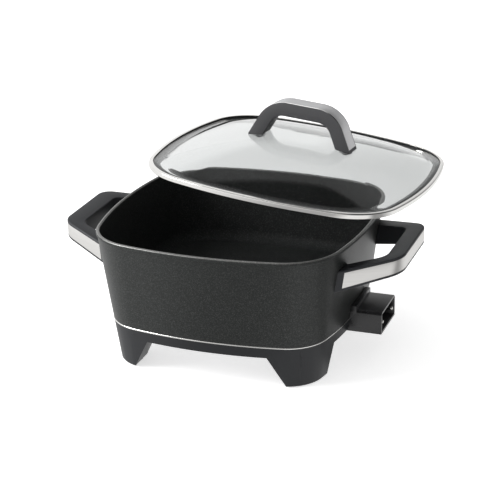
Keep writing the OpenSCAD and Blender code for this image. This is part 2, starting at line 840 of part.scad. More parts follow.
// Rings of the dome, from its flat top out: each is the edge at another scale and height
dome_steps = 5;
dome_start = (half - lip_in - lip_t - over) / (half + glass_out);
dome_rings = [for (i = [0:dome_steps]) let (t = i / dome_steps) [
    flat_share + (dome_start - flat_share) * t,
    glass_low + (glass_top - glass_low - glass_t) * (1 - pow(t, shoulder))
]];

module lid_glass() color([0.75, 0.82, 0.82, 0.45]) lifted() {
    rings = concat(
        dome_rings,
        [[1, glass_low], [1, glass_low + glass_t]],
        [for (i = [dome_steps:-1:0]) dome_rings[i] + [0, glass_t]]
    );
    difference() {
        skin([for (r = rings) [for (p = line(glass_out, 0)) [p.x * r[0], p.y * r[0], r[1]]]]);
        for (s = [-1, 1]) {
            translate([s * foot_x, 0, 0]) cylinder(h = glass_top + over, r = lid_screw_r + screw_play, $fn = round_fn);
        }
    }
}

// Lid handle

// The face of the dome that each foot stands on: its height at the foot, and its slope
foot_x = (arch_w - foot_w) / 2;
foot_share = foot_x / (half + glass_out);
foot_step = floor(dome_steps * (foot_share - flat_share) / (dome_start - flat_share));
foot_rings = [dome_rings[foot_step], dome_rings[foot_step + 1]];
foot_fall = (foot_rings[0][1] - foot_rings[1][1]) / (foot_rings[1][0] - foot_rings[0][0]);
foot_z = foot_rings[0][1] + glass_t - foot_fall * (foot_share - foot_rings[0][0]);
foot_tilt = atan(foot_fall / (half + glass_out));
arch_z = foot_z + arch_pad_t / cos(foot_tilt);

// Sets things on the glass at both feet, tilted as it is there, with up as their Z axis
module at_feet() {
    for (s = [-1, 1]) {
        translate([s * foot_x, 0, foot_z]) rotate([0, s * foot_tilt, 0]) children();
    }
}

// Holes for the two screws, from a height up through the feet
module foot_holes(from, h, r) {
    for (s = [-1, 1]) {
        translate([s * foot_x, 0, from]) cylinder(h = h, r = r, $fn = round_fn);
    }
}

// Lays a flat outline that runs out along x up on its root, across the lid
module upright(depth) {
    translate([0, 0, arch_z]) rotate([90, 0, 0]) linear_extrude(depth, center = true)
        rotate([0, 0, 90]) children();
}

module arch_line(tail, d) {
    yoke(arch_w, arch_lean, arch_h, arch_r, tail, d);
}

module lid_handle() color([0.25, 0.25, 0.26]) lifted() {
    difference() {
        upright(arch_d) difference() {
            arch_line(foot_w / 2, 0);
            yoke(arch_w - 2 * foot_w, arch_lean, arch_h - arch_t, arch_in_r, foot_w / 2 + over, 0);
        }
        upright(arch_d - 2 * inlay_edge + 2 * fit) difference() {
            arch_line(-inlay_foot + fit, over);
            arch_line(0, -inlay_t - fit);
        }
        at_feet() translate([-foot_w, -arch_d, arch_pad_t - foot_w]) cube([2 * foot_w, 2 * arch_d, foot_w]);
        foot_holes(foot_z, arch_z - foot_z + lid_screw_in, lid_screw_r);
    }
}

module lid_handle_inlay() color([0.74, 0.74, 0.74]) lifted() {
    upright(arch_d - 2 * inlay_edge) difference() {
        arch_line(-inlay_foot, 0);
        arch_line(0, -inlay_t);
    }
}

module lid_pads() color([0.10, 0.10, 0.10]) lifted() {
    difference() {
        at_feet() translate([-foot_w / 2, -arch_d / 2, 0]) cube([foot_w, arch_d, arch_pad_t]);
        foot_holes(foot_z - glass_t, 2 * glass_t, lid_screw_r + screw_play);
    }
}

// Wedge washers under the glass: flat below, and sloped above as the glass is, with a hair's
// gap because the glass curves away
washer_mid = washer_t + washer_r * tan(foot_tilt);
washer_z = foot_z - glass_t - washer_mid;
module lid_washers() color([0.70, 0.70, 0.72]) lifted() {
    difference() {
        foot_holes(washer_z, 2 * washer_mid, washer_r);
        at_feet() translate([-foot_w, -foot_w, -glass_t * cos(foot_tilt) - fit / 2]) cube(2 * foot_w);
        foot_holes(washer_z - over, 2 * washer_mid + 2 * over, lid_screw_r + screw_play);
    }
}

module lid_screws() color([0.66, 0.66, 0.68]) lifted() {
    for (s = [-1, 1]) {
        translate([s * foot_x, 0, washer_z]) mirror([0, 0, 1])
            screw(arch_z + lid_screw_in - washer_z - over, lid_screw_r - fit, lid_head_r, lid_head_h);
    }
}

pan();
heating_element();
pin_insulators();
terminal_pins();
sensor_well();
base_skirt();
trim_ring();
foot_pads();
base_screws();
connector_shroud();
shroud_screws();
left_handle();
right_handle();
left_handle_band();
right_handle_band();
left_handle_screws();
right_handle_screws();
lid_glass();
lid_gasket();
lid_band();
lid_handle();
lid_handle_inlay();
lid_pads();
lid_washers();
lid_screws();
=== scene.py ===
import math

import bmesh
import bpy
from mathutils import Matrix, Vector


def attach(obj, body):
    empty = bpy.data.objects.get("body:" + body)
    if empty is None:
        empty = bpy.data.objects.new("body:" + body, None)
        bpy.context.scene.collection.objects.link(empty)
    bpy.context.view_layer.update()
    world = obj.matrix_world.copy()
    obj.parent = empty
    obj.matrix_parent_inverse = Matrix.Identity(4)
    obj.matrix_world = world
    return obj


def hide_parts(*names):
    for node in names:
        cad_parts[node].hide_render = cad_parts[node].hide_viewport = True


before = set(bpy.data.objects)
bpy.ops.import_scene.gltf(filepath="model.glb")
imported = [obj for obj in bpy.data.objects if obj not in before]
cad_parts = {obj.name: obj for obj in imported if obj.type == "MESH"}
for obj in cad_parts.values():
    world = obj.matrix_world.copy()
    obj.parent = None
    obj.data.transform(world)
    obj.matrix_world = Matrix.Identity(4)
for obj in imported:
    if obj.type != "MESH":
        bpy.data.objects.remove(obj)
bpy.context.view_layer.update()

# Pan: a deep square vessel cast in aluminium in one piece, with a rounded rim bead, a ridge that
# holds the heating element, and lugs and bosses for the screws. Outside it has a dark metallic
# coat with fine flecks, inside a black non-stick one, and the rim's crown is a lighter metallic
# band that paints the bright highlight line along the rim.

rim_height = 155.0
pan_half = 150.0
side_radius = 460.0
corner_radius = 65.0
wall_draft = 0.14
wall_thickness = 3.5
bead_step = 0.6
bead_height = 4.5
base_joint = 50.0
floor_under = 60.0
floor_top = 66.0
element_inset = 45.0
notch_x = 128.0
notch_half = 29.1
foot_corner = 97.86
foot_places = [(x, y) for x in (-foot_corner, foot_corner) for y in (-foot_corner, foot_corner)]
lug_x = 156.0
lug_places = [(x, y) for x in (-lug_x, lug_x) for y in (-67.96, 67.96)]
socket_screw_z = 54.6
socket_screws_y = (-11.0, 11.0)

side_middle = pan_half - side_radius
corner_middle = (side_middle + math.sqrt(
    2 * (side_radius - corner_radius) ** 2 - side_middle ** 2)) / 2
side_angle = math.atan2(corner_middle, corner_middle - side_middle)


def rim_line(grow, side_steps=30, corner_steps=26):
    """Plan of the rim line grown outwards, in mm: side arc and corner arc in turn, four times."""
    quarter = []
    for i in range(side_steps):
        a = side_angle * (2 * i / side_steps - 1)
        quarter.append((side_middle + (side_radius + grow) * math.cos(a),
                        (side_radius + grow) * math.sin(a)))
    for i in range(corner_steps):
        a = side_angle + (math.pi / 2 - 2 * side_angle) * i / corner_steps
        quarter.append((corner_middle + (corner_radius + grow) * math.cos(a),
                        corner_middle + (corner_radius + grow) * math.sin(a)))
    turned = []
    for c, s in ((1, 0), (0, 1), (-1, 0), (0, -1)):
        turned += [(x * c - y * s, x * s + y * c) for x, y in quarter]
    return turned


def wall_out(z):
    return -bead_step - wall_draft * (rim_height - z)


def wall_in(z):
    return wall_out(z) - wall_thickness


def angles(start, turn, steps):
    """Even steps of a turn, which is given in degrees, in radians."""
    return [math.radians(start + turn * i / steps) for i in range(steps + 1)]


def bend(x, z, radius, start, turn, steps):
    """Points of a rounded corner in a section, in mm and degrees."""
    return [(x + radius * math.cos(a), z + radius * math.sin(a)) for a in angles(start, turn, steps)]


def loft(rings, closed=False):
    """Corners and faces of a skin over rings of points, with flat ends or closed on itself."""
    n, count = len(rings[0]), len(rings)
    corners = [p for ring in rings for p in ring]
    faces = []
    for k in range(count if closed else count - 1):
        a, b = k * n, (k + 1) % count * n
        faces += [(a + i, a + (i + 1) % n, b + (i + 1) % n, b + i) for i in range(n)]
    if not closed:
        faces += [tuple(reversed(range(n))), tuple(range((count - 1) * n, count * n))]
    return corners, faces


def round_rim(section, closed=False):
    """A section of (distance out, height) pairs carried round the rim line."""
    return loft([[(x, y, z) for x, y in rim_line(d)] for d, z in section], closed)


def new_object(name, data):
    """An object of the scene that holds a mesh, a lamp or a lens."""
    made = bpy.data.objects.new(name, data)
    bpy.context.collection.objects.link(made)
    return made


def discard(piece):
    """Removes an object and its mesh."""
    mesh = piece.data
    bpy.data.objects.remove(piece)
    bpy.data.meshes.remove(mesh)


def face_out(piece):
    """Merges corners that fall together, and turns every face outwards."""
    shell = bmesh.new()
    shell.from_mesh(piece.data)
    bmesh.ops.remove_doubles(shell, verts=shell.verts, dist=1e-6)
    bmesh.ops.recalc_face_normals(shell, faces=shell.faces)
    shell.to_mesh(piece.data)
    shell.free()


def solid_piece(name, shape, finishes, chooser=None):
    """A mesh object from corners in mm and faces. chooser picks each face's finish by its middle."""
    corners, faces = shape
    mesh = bpy.data.meshes.new(name)
    mesh.from_pydata([(x * 0.001, y * 0.001, z * 0.001) for x, y, z in corners], [], faces)
    for finish in finishes:
        mesh.materials.append(finish)
    piece = new_object(name, mesh)
    face_out(piece)
    if chooser:
        for face in mesh.polygons:
            face.material_index = chooser(face.center * 1000, face.normal)
    return piece


def settle(piece):
    """Turns what a piece's modifiers make into its plain mesh."""
    made = bpy.data.meshes.new_from_object(
        piece.evaluated_get(bpy.context.evaluated_depsgraph_get()))
    old, piece.data = piece.data, made
    piece.modifiers.clear()
    bpy.data.meshes.remove(old)
    made.name = piece.name


def machine(piece, tools, how="DIFFERENCE"):
    """Cuts tools out of a piece, or joins them to it, and removes the tools."""
    for tool in tools:
        step = piece.modifiers.new("step", "BOOLEAN")
        step.operation, step.solver, step.object = how, "EXACT", tool
    settle(piece)
    for tool in tools:
        discard(tool)


def stand_for(piece, body, name, place=None, degrees=35):
    """Lets a piece ride on a body, in the place of one CAD node.
    It is shaded smoothly, but for edges steeper than the angle, and moved by a place."""
    piece.data.shade_smooth()
    piece.data.set_sharp_from_angle(angle=math.radians(degrees))
    if place:
        piece.data.transform(place)
    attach(piece, body)
    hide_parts(name)


def on_pan(piece, name, degrees=35):
    stand_for(piece, "skillet", name, None, degrees)


def block(low, high, finish):
    """A machining block between two corners, in mm."""
    ring = [(low[0], low[1]), (high[0], low[1]), (high[0], high[1]), (low[0], high[1])]
    shape = loft([[(x, y, z) for x, y in ring] for z in (low[2], high[2])])
    return solid_piece("block", shape, [finish])


def circle(radius, steps):
    """Corners of a round outline about the origin."""
    return [(radius * math.cos(2 * math.pi * i / steps), radius * math.sin(2 * math.pi * i / steps))
            for i in range(steps)]


def rod(foot, length, radius, finish, axis=(0, 0, 1)):
    """A machining rod from a foot point along an axis, in mm."""
    turn = Vector(axis).to_track_quat("Z", "Y")
    rings = [[Vector(foot) + turn @ Vector((x, y, h)) for x, y in circle(radius, 40)]
             for h in (0, length)]
    return solid_piece("rod", loft(rings), [finish])


def make_tree(kind, name, inputs, results):
    """An empty node tree, with labels and kinds of its inputs and results.
    Gives back the tree, what it is given, its results and the identifiers of its inputs."""
    tree = bpy.data.node_groups.new(name, kind)
    for label, value in results.items():
        tree.interface.new_socket(label, in_out="OUTPUT", socket_type="NodeSocket" + value)
    identifiers = {label: tree.interface.new_socket(
        label, in_out="INPUT", socket_type="NodeSocket" + value).identifier
        for label, value in inputs.items()}
    given, taken = tree.nodes.new("NodeGroupInput"), tree.nodes.new("NodeGroupOutput")
    return tree, given.outputs, taken.inputs, identifiers


def surface_group(name, numbers, colours):
    """An empty shader tree for a surface effect: what it is given and its results."""
    return make_tree("ShaderNodeTree", name, {
        "Place": "Vector", **dict.fromkeys(numbers, "Float"), **dict.fromkeys(colours, "Color")},
        {"Colour": "Color", "Roughness": "Float", "Height": "Float"})[:3]


def node(tree, kind, wires=(), **settings):
    """A node with its settings and what feeds its inputs: plain values, nodes or their outputs."""
    made = tree.nodes.new(kind)
    for key, value in settings.items():
        setattr(made, key, value)
    for socket, source in dict(wires).items():
        if isinstance(source, bpy.types.Node):
            source = source.outputs[0]
        if isinstance(source, bpy.types.NodeSocket):
            tree.links.new(source, made.inputs[socket])
        else:
            made.inputs[socket].default_value = source
    return made


def maths(tree, operation, *values):
    """The output of a math node on its two or three values."""
    return node(tree, "ShaderNodeMath", dict(enumerate(values)), operation=operation).outputs[0]


def map_range(tree, value, low, high, to_low=0.0, to_high=1.0):
    """A value between low and high, carried to another range and held inside it."""
    return node(tree, "ShaderNodeMapRange", {
        "Value": value, "From Min": low, "From Max": high, "To Min": to_low,
        "To Max": to_high}).outputs[0]


def noise(tree, place, scale, detail):
    """The output of a noise texture."""
    return node(tree, "ShaderNodeTexNoise", {
        "Vector": place, "Scale": scale, "Detail": detail}).outputs[0]


def scaled(tree, colour, factor):
    """The output of a node that makes a colour lighter or darker."""
    return node(tree, "ShaderNodeVectorMath", {0: colour, "Scale": factor},
                operation="SCALE").outputs[0]


def mix_of(tree, share, first, second):
    """A mix of two colours, which are inputs 6 and 7 of the mix node, as its result is output 2."""
    return node(tree, "ShaderNodeMix", {"Factor": share, 6: first, 7: second},
                data_type="RGBA").outputs[2]


def end_group(tree, given, result, colour, wave, height):
    """Ends a surface group, whose roughness changes with a wave."""
    gloss = maths(tree, "MULTIPLY_ADD", wave, given["Spread"], given["Roughness"])
    tree.links.new(colour, result["Colour"])
    tree.links.new(gloss, result["Roughness"])
    tree.links.new(height, result["Height"])


# Flecked coat: sprayed enamel with small light flakes, and slow changes in gloss
flecked_coat, given, result = surface_group(
    "flecked_coat", ["Fleck Size", "Fleck Share", "Roughness", "Spread"], ["Coat", "Fleck"])
per_metre = maths(flecked_coat, "DIVIDE", 1000.0, given["Fleck Size"])
flakes = node(flecked_coat, "ShaderNodeTexVoronoi", {"Vector": given["Place"], "Scale": per_metre})
flake_tone = node(flecked_coat, "ShaderNodeSeparateColor", {"Color": flakes.outputs["Color"]})
threshold = maths(flecked_coat, "SUBTRACT", 1.0, given["Fleck Share"])
flake_mask = map_range(flecked_coat, flake_tone, threshold, 1.0)
drift = noise(flecked_coat, given["Place"], 18.0, 4.0)
tone = mix_of(flecked_coat, flake_mask, given["Coat"], given["Fleck"])
end_group(flecked_coat, given, result, tone, drift, flake_mask)

# Brushed metal: fine lines along one direction, with faint streaks of another tone
brushed_metal, given, result = surface_group(
    "brushed_metal", ["Along", "Across", "Roughness", "Spread", "Streak"], ["Metal"])
stretch = node(brushed_metal, "ShaderNodeCombineXYZ", {
    0: given["Along"], 1: given["Along"], 2: given["Across"]})
drawn = node(brushed_metal, "ShaderNodeVectorMath", {
    0: given["Place"], 1: stretch}, operation="MULTIPLY")
scratches = noise(brushed_metal, drawn, 1.0, 3.0)
darker = maths(brushed_metal, "MULTIPLY", scratches, given["Streak"])
kept = maths(brushed_metal, "SUBTRACT", 1.0, darker)
tone = scaled(brushed_metal, given["Metal"], kept)
end_group(brushed_metal, given, result, tone, scratches, scratches)

# Moulded skin: fine grain of a moulded or cast surface, with rubbed patches that are a bit lighter
moulded_skin, given, result = surface_group(
    "moulded_skin", ["Grain", "Roughness", "Spread", "Rub"], ["Material"])
per_metre = maths(moulded_skin, "DIVIDE", 1000.0, given["Grain"])
grain = noise(moulded_skin, given["Place"], per_metre, 3.0)
patches = noise(moulded_skin, given["Place"], 25.0, 5.0)
rubbed = maths(moulded_skin, "MULTIPLY_ADD", patches, given["Rub"], 1.0)
tone = scaled(moulded_skin, given["Material"], rubbed)
end_group(moulded_skin, given, result, tone, patches, grain)


def surface(name, effect, values, relief=0.1):
    """A finish: a Principled shader fed by an effect. Each value goes to the one with its label."""
    finish = bpy.data.materials.new(name)
    finish.use_nodes = True
    tree = finish.node_tree
    shader = tree.nodes["Principled BSDF"]
    place = node(tree, "ShaderNodeTexCoord")
    group = node(tree, "ShaderNodeGroup", node_tree=effect)
    tree.links.new(place.outputs["Object"], group.inputs["Place"])
    for label, value in values.items():
        sockets = group.inputs if label in group.inputs else shader.inputs
        sockets[label].default_value = (*value, 1.0) if isinstance(value, tuple) else value
    bump = node(tree, "ShaderNodeBump", {
        "Strength": relief, "Distance": 0.0002, "Height": group.outputs["Height"]})
    tree.links.new(group.outputs["Colour"], shader.inputs["Base Color"])
    tree.links.new(group.outputs["Roughness"], shader.inputs["Roughness"])
    tree.links.new(bump.outputs["Normal"], shader.inputs["Normal"])
    return finish


pan_coat = surface("pan_coat", flecked_coat, {
    "Fleck Size": 0.6, "Fleck Share": 0.4, "Roughness": 0.38, "Spread": 0.08,
    "Coat": (0.026, 0.028, 0.027), "Fleck": (0.066, 0.069, 0.067),
    "Metallic": 0.45, "Specular IOR Level": 0.4}, relief=0.15)
non_stick = surface("non_stick", flecked_coat, {
    "Fleck Size": 0.7, "Fleck Share": 0.3, "Roughness": 0.42, "Spread": 0.1,
    "Coat": (0.019, 0.020, 0.020), "Fleck": (0.044, 0.046, 0.045), "Specular IOR Level": 0.05})
# Painted highlight: the rim's crown is coloured lighter than the coat to stand in for the bright line
# along the rim, and its lower roughness catches real light too.
rubbed_rim = surface("rubbed_rim", flecked_coat, {
    "Fleck Size": 0.6, "Fleck Share": 0.5, "Roughness": 0.30, "Spread": 0.12,
    "Coat": (0.17, 0.17, 0.165), "Fleck": (0.32, 0.32, 0.31), "Metallic": 0.8})
cast_metal = surface("cast_metal", moulded_skin, {
    "Grain": 0.8, "Roughness": 0.5, "Spread": 0.1, "Rub": 0.3, "Material": (0.42, 0.42, 0.43),
    "Metallic": 1.0}, relief=0.3)

rim_round = (bead_step + wall_thickness) / (2 - wall_draft)
cove = 16.0
cove_z = floor_top + cove
cove_x = wall_in(cove_z) - cove * math.hypot(1, wall_draft)
lean = math.degrees(math.atan(wall_draft))
floor_inset, wall_foot, bead_low = 60.0, base_joint + 1, rim_height - bead_height
ridge_out, groove_out, ridge_low, groove_top = 6.4, 3.5, 54.2, 58.7
ridge = [(-ridge_out, floor_under), (-ridge_out, ridge_low), (-groove_out, ridge_low),
         (-groove_out, groove_top)]
pan_section = [(-floor_inset, floor_under)] + [(x - element_inset, z) for x, z in ridge]
pan_section += [(-x - element_inset, z) for x, z in reversed(ridge)]
pan_section += [
    (wall_in(floor_under), floor_under), (wall_in(wall_foot), wall_foot),
    (wall_out(wall_foot), wall_foot), (wall_out(bead_low - 0.4), bead_low - 0.4),
    (wall_out(bead_low) + 0.1, bead_low), (-0.12, bead_low + bead_step), (0, bead_low + 0.95)]
pan_section += bend(-rim_round, rim_height - rim_round, rim_round, 0, 180, 12)
pan_section += bend(cove_x, cove_z, cove, -lean, lean - 90, 12)
pan_section += [(-floor_inset, floor_top)]


def pan_finish(middle, normal):
    """0 outside, 1 inside, 2 on the rim's crown, 3 bare metal under the floor."""
    crown_low, floor_half, notch_foot = rim_height - 1.35, 133, 51.5
    # The crown takes the lighter finish that paints the rim's highlight line.
    if middle.z > crown_low:
        return 2
    under_floor = middle.z < floor_under + 0.1 and max(abs(middle.x), abs(middle.y)) < floor_half
    if under_floor and normal.z < 0.9:
        return 3 if abs(normal.z) > 0.5 or middle.z > notch_foot else 0
    flat = Vector((middle.x, middle.y, 0)).normalized()
    return 1 if normal.z > 0.5 or normal.dot(flat) < -0.3 else 0


pan = solid_piece("pan_vessel", round_rim(pan_section),
                  [pan_coat, non_stick, rubbed_rim, cast_metal], pan_finish)
# The ridge is cut away where the element's ends leave it.
gap_start, gap_end, gap_half = 92.2, 117.8, 33.4
machine(pan, [block((gap_start, -gap_half, 53), (gap_end, gap_half, floor_under + 0.1), cast_metal)])
boss_low, boss_radius = 49.0, 5.2
ear_start, ear_long, ear_radius, outwards = 112.0, 16.0, 4.0, (1, 0, 0)
bosses = [rod((x, y, boss_low), 12, boss_radius, cast_metal) for x, y in foot_places]
for y in socket_screws_y:
    half = ear_radius - 0.01
    bosses += [rod((ear_start, y, socket_screw_z), ear_long, ear_radius, cast_metal, outwards),
               block((ear_start + 0.01, y - half, socket_screw_z),
                     (ear_start + ear_long - 0.01, y + half, floor_under + 1), cast_metal)]
lug_start, lug_end, lug_half, lug_low, lug_high = 139.5, 160.0, 4.0, 116.0, 127.0
for x, y in lug_places:
    inner, outer = sorted((x / lug_x * lug_start, x / lug_x * lug_end))
    bosses.append(block((inner, y - lug_half, lug_low), (outer, y + lug_half, lug_high), pan_coat))
machine(pan, bosses, "UNION")
drill_radius, small_drill_radius = 2.0, 1.5
drills = [block((notch_x, -notch_half, base_joint), (160, notch_half, floor_under), cast_metal)]
drills += [rod((x, y, boss_low - 1), 14, drill_radius, cast_metal) for x, y in foot_places]
drills += [rod((ear_start + 4, y, socket_screw_z), 14, small_drill_radius, cast_metal, outwards)
           for y in socket_screws_y]
drills += [rod((x, y, lug_low - 4), 14, drill_radius, cast_metal) for x, y in lug_places]
machine(pan, drills)
on_pan(pan, "pan", 30)

# Heating element: a steel tube packed with insulation, bent once round the floor in its groove.
# Its two ends turn out to the socket, where a ceramic bead closes each and a plated pin comes out.

element_radius, element_height = 3.4, 55.2
pin_height, pin_y = 48.0, 20.0


def shape_tree(name, **inputs):
    """An empty geometry tree, which makes a shape from the one it is put on and its inputs."""
    tree, *ends = make_tree("GeometryNodeTree", name, {
        "Geometry": "Geometry", **inputs, "Finish": "Material"}, {"Geometry": "Geometry"})
    tree.is_modifier = True
    return tree, *ends


def grow_from(name, points, edges, tree, inputs, values):
    """Runs a geometry tree on points and edges in mm, and keeps what it makes as a plain mesh."""
    mesh = bpy.data.meshes.new(name + "_path")
    mesh.from_pydata([tuple(c * 0.001 for c in p) for p in points], edges, [])
    path = new_object(name + "_path", mesh)
    maker = path.modifiers.new("maker", "NODES")
    maker.node_group = tree
    for label, value in values.items():
        maker[inputs[label]] = value
    made = bpy.data.meshes.new_from_object(
        path.evaluated_get(bpy.context.evaluated_depsgraph_get()))
    discard(path)
    made.name = name
    piece = new_object(name, made)
    face_out(piece)
    return piece


def chain(count, closed=False):
    return [(i, (i + 1) % count) for i in range(count if closed else count - 1)]


def hand_out(tree, shape, given, result):
    """Ends a geometry tree: its shape is made real, and gets its finish."""
    real = node(tree, "GeometryNodeRealizeInstances", {0: shape})
    dressed = node(tree, "GeometryNodeSetMaterial", {
        "Geometry": real, "Material": given["Finish"]})
    tree.links.new(dressed.outputs[0], result[0])


bent_tube, given, result, tube_inputs = shape_tree("bent_tube", Radius="Float", Sides="Int")
path = node(bent_tube, "GeometryNodeMeshToCurve", {"Mesh": given["Geometry"]})
section = node(bent_tube, "GeometryNodeCurvePrimitiveCircle", {
    "Radius": given["Radius"], "Resolution": given["Sides"]})
tube = node(bent_tube, "GeometryNodeCurveToMesh", {
    "Curve": path, "Profile Curve": section, "Fill Caps": True})
hand_out(bent_tube, tube, given, result)

heated_steel = surface("heated_steel", moulded_skin, {
    "Grain": 0.6, "Roughness": 0.42, "Spread": 0.2, "Rub": 0.5, "Material": (0.19, 0.17, 0.15),
    "Metallic": 1.0}, relief=0.2)
turn_radius, rise_start, rise_long = 10.0, 125.0, 9.0
end_y, climb = pin_y + turn_radius, element_height - pin_height
groove_radius = side_radius - element_inset
open_angle = math.asin(end_y / groove_radius)
half_loop = [(side_middle + groove_radius * math.cos(a), groove_radius * math.sin(a))
             for a in (open_angle + (side_angle - open_angle) * i / 10 for i in range(10))]
half_loop += rim_line(-element_inset)[30:128]  # first corner to the middle of the left side
turn_x = side_middle + groove_radius * math.cos(open_angle) + turn_radius
tail = [(rise_start + 7, pin_y, pin_height), (rise_start + 2, pin_y, pin_height)]
tail += [(rise_start - rise_long * t, pin_y, pin_height + climb * (3 * t * t - 2 * t ** 3))
         for t in (i / 12 for i in range(13))]
half_loop = bend(turn_x, end_y, turn_radius, -90, -90, 8)[:-1] + half_loop
half_path = tail + [(x, y, element_height) for x, y in half_loop]
tube_path = half_path + [(x, -y, z) for x, y, z in reversed(half_path[:-1])]
element = grow_from("heating_tube", tube_path, chain(len(tube_path)), bent_tube, tube_inputs,
                    {"Radius": element_radius * 0.001, "Sides": 24, "Finish": heated_steel})
on_pan(element, "heating_element", 50)


def dress(name, finish):
    """Gives a CAD node, whose shape stays, its finish."""
    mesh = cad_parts[name].data
    mesh.materials.clear()
    mesh.materials.append(finish)


dress("pin_insulators", surface("steatite", moulded_skin, {
    "Grain": 0.5, "Roughness": 0.3, "Spread": 0.15, "Rub": 0.1, "Material": (0.74, 0.71, 0.63),
    "Coat Weight": 0.3}, relief=0.05))
dress("terminal_pins", surface("nickel_plate", brushed_metal, {
    "Along": 900.0, "Across": 900.0, "Roughness": 0.12, "Spread": 0.12, "Streak": 0.1,
    "Metal": (0.83, 0.82, 0.79), "Metallic": 1.0}, relief=0.03))
dress("sensor_well", cast_metal)

# Base: one black phenolic moulding, a skirt with a shelf for the pan and four hollow legs. A long
# screw goes up through a tower in each leg into the pan. The edges are a little rounded, as the
# mould leaves them.

pad_height, leg_floor = 1.5, 3.0
shelf = 11.0
skirt_bottom = 37.0
base_wall = 3.0
leg_inset = 51.0
base_top = base_joint - 1
well_top = base_top - base_wall
tower_radius, well_radius, shank_hole = 6.2, 4.2, 2.3

phenolic = surface("black_phenolic", moulded_skin, {
    "Grain": 0.5, "Roughness": 0.40, "Spread": 0.14, "Rub": 0.35, "Material": (0.014, 0.015, 0.017),
    "Specular IOR Level": 0.40}, relief=0.12)


def soften(piece, width, steps=2, degrees=40):
    """Rounds a piece's edges that are sharper than an angle."""
    rounding = piece.modifiers.new("rounding", "BEVEL")
    rounding.width, rounding.segments = width * 0.001, steps
    rounding.limit_method, rounding.angle_limit = "ANGLE", math.radians(degrees)
    rounding.miter_outer = "MITER_ARC"
    settle(piece)


def leg_gap(top, low, grow, sideways):
    """A trapezoid across the whole base, which leaves the legs on both sides of it.
    top is its width at the skirt, low its width at the table."""
    top, low = top + 2 * grow, low + 2 * grow
    spread = low - top / 2
    outline = [(-spread, -skirt_bottom), (spread, -skirt_bottom), (top / 2, skirt_bottom),
               (top / 2, base_joint), (-top / 2, base_joint), (-top / 2, skirt_bottom)]
    rings = [[(v, u, z) if sideways else (u, v, z) for u, z in outline] for v in (-225, 225)]
    return solid_piece("gap", loft(rings), [phenolic])


def leg_gaps(grow):
    return [leg_gap(140, 180, grow, False), leg_gap(132, 146, grow, True)]


def inside_line(inset, top):
    """Everything at least an inset inside the rim line, up to a height."""
    return solid_piece("core", round_rim([(-inset, z) for z in (0, top)]), [phenolic])


leg_room = pad_height + leg_floor
hollow = solid_piece("hollow", round_rim([
    (wall_out(z) - base_wall, z) for z in (leg_room, base_joint)]), [phenolic])
machine(hollow, [inside_line(leg_inset - base_wall, 52)] + leg_gaps(base_wall))
base = solid_piece("base_skirt_moulding", round_rim(
    [(wall_out(z), z) for z in (pad_height, base_top)]), [phenolic])
machine(base, [inside_line(leg_inset, 51)] + leg_gaps(0) + [hollow])
skirt_out = wall_out(base_top)
skirt = solid_piece("skirt", round_rim([
    (wall_out(skirt_bottom) - base_wall, skirt_bottom), (wall_out(skirt_bottom), skirt_bottom),
    (skirt_out, base_top), (skirt_out - shelf, base_top), (skirt_out - shelf, well_top),
    (skirt_out - base_wall, well_top)], closed=True), [phenolic])
machine(base, [skirt] + [rod((x, y, pad_height), base_top - pad_height, tower_radius, phenolic)
                         for x, y in foot_places], "UNION")
machine(base, [rod((x, y, -1), well_top + 1, well_radius, phenolic) for x, y in foot_places]
        + [rod((x, y, 0), base_joint, shank_hole, phenolic) for x, y in foot_places]
        + [block((116, -notch_half, 35), (200, notch_half, floor_under), phenolic)])
soften(base, 0.7)
on_pan(base, "base_skirt")

# Trim ring: a thin bright metal bead in the joint between pan and base. It is one strip, bent
# round the pan's wall from one side of the socket to the other and held between the two.

section_path, given, result, section_inputs = shape_tree("section_on_path", Section="Object")
path = node(section_path, "GeometryNodeMeshToCurve", {"Mesh": given["Geometry"]})
upright = node(section_path, "GeometryNodeSetCurveNormal", {"Curve": path})
outline = node(section_path, "GeometryNodeObjectInfo", {"Object": given["Section"]})
profile = node(section_path, "GeometryNodeMeshToCurve", {"Mesh": outline.outputs["Geometry"]})
swept = node(section_path, "GeometryNodeCurveToMesh", {
    "Curve": upright, "Profile Curve": profile, "Fill Caps": True})
hand_out(section_path, swept, given, result)


def strip_round(name, path_points, closed, section_points, finish):
    """A strip of one section, in mm, laid along a path at height 0 and facing out from it."""
    mesh = bpy.data.meshes.new("section")
    mesh.from_pydata([(d * 0.001, -z * 0.001, 0) for d, z in section_points],
                     chain(len(section_points), True), [])
    holder = new_object("section", mesh)
    piece = grow_from(name, [(x, y, 0) for x, y in path_points],
                      chain(len(path_points), closed), section_path, section_inputs,
                      {"Section": holder, "Finish": finish})
    discard(holder)
    return piece


polished_trim = surface("polished_trim", brushed_metal, {
    "Along": 40.0, "Across": 4000.0, "Roughness": 0.14, "Spread": 0.08, "Streak": 0.05,
    "Metal": (0.90, 0.89, 0.87), "Metallic": 1.0}, relief=0.02)
trim_out, trim_radius = wall_out(base_joint) + 0.5, 1.0
trim_in = wall_out(base_joint) - base_wall
trim_section = [(trim_in, base_top)]
trim_section += bend(trim_out - trim_radius, base_joint, trim_radius, -90, 180, 10)
trim_section += [(trim_in, base_top + 2 * trim_radius)]
beside = [p for p in rim_line(0, 60) if not (p[0] > 100 and abs(p[1]) < notch_half)]
start = next(i for i, p in enumerate(beside) if p[0] > 100 and p[1] > notch_half)
edge_x = side_middle + math.sqrt(side_radius ** 2 - notch_half ** 2)
trim_line = [(edge_x, notch_half)] + beside[start:] + beside[:start] + [(edge_x, -notch_half)]
trim = strip_round("trim_strip", trim_line, False, trim_section, polished_trim)
on_pan(trim, "trim_ring", 40)

# Feet and base screws: a moulded rubber foot with a plug closes the screw well in each leg, and a
# plated pan-head screw with a hexagon socket sits at the top of each well.

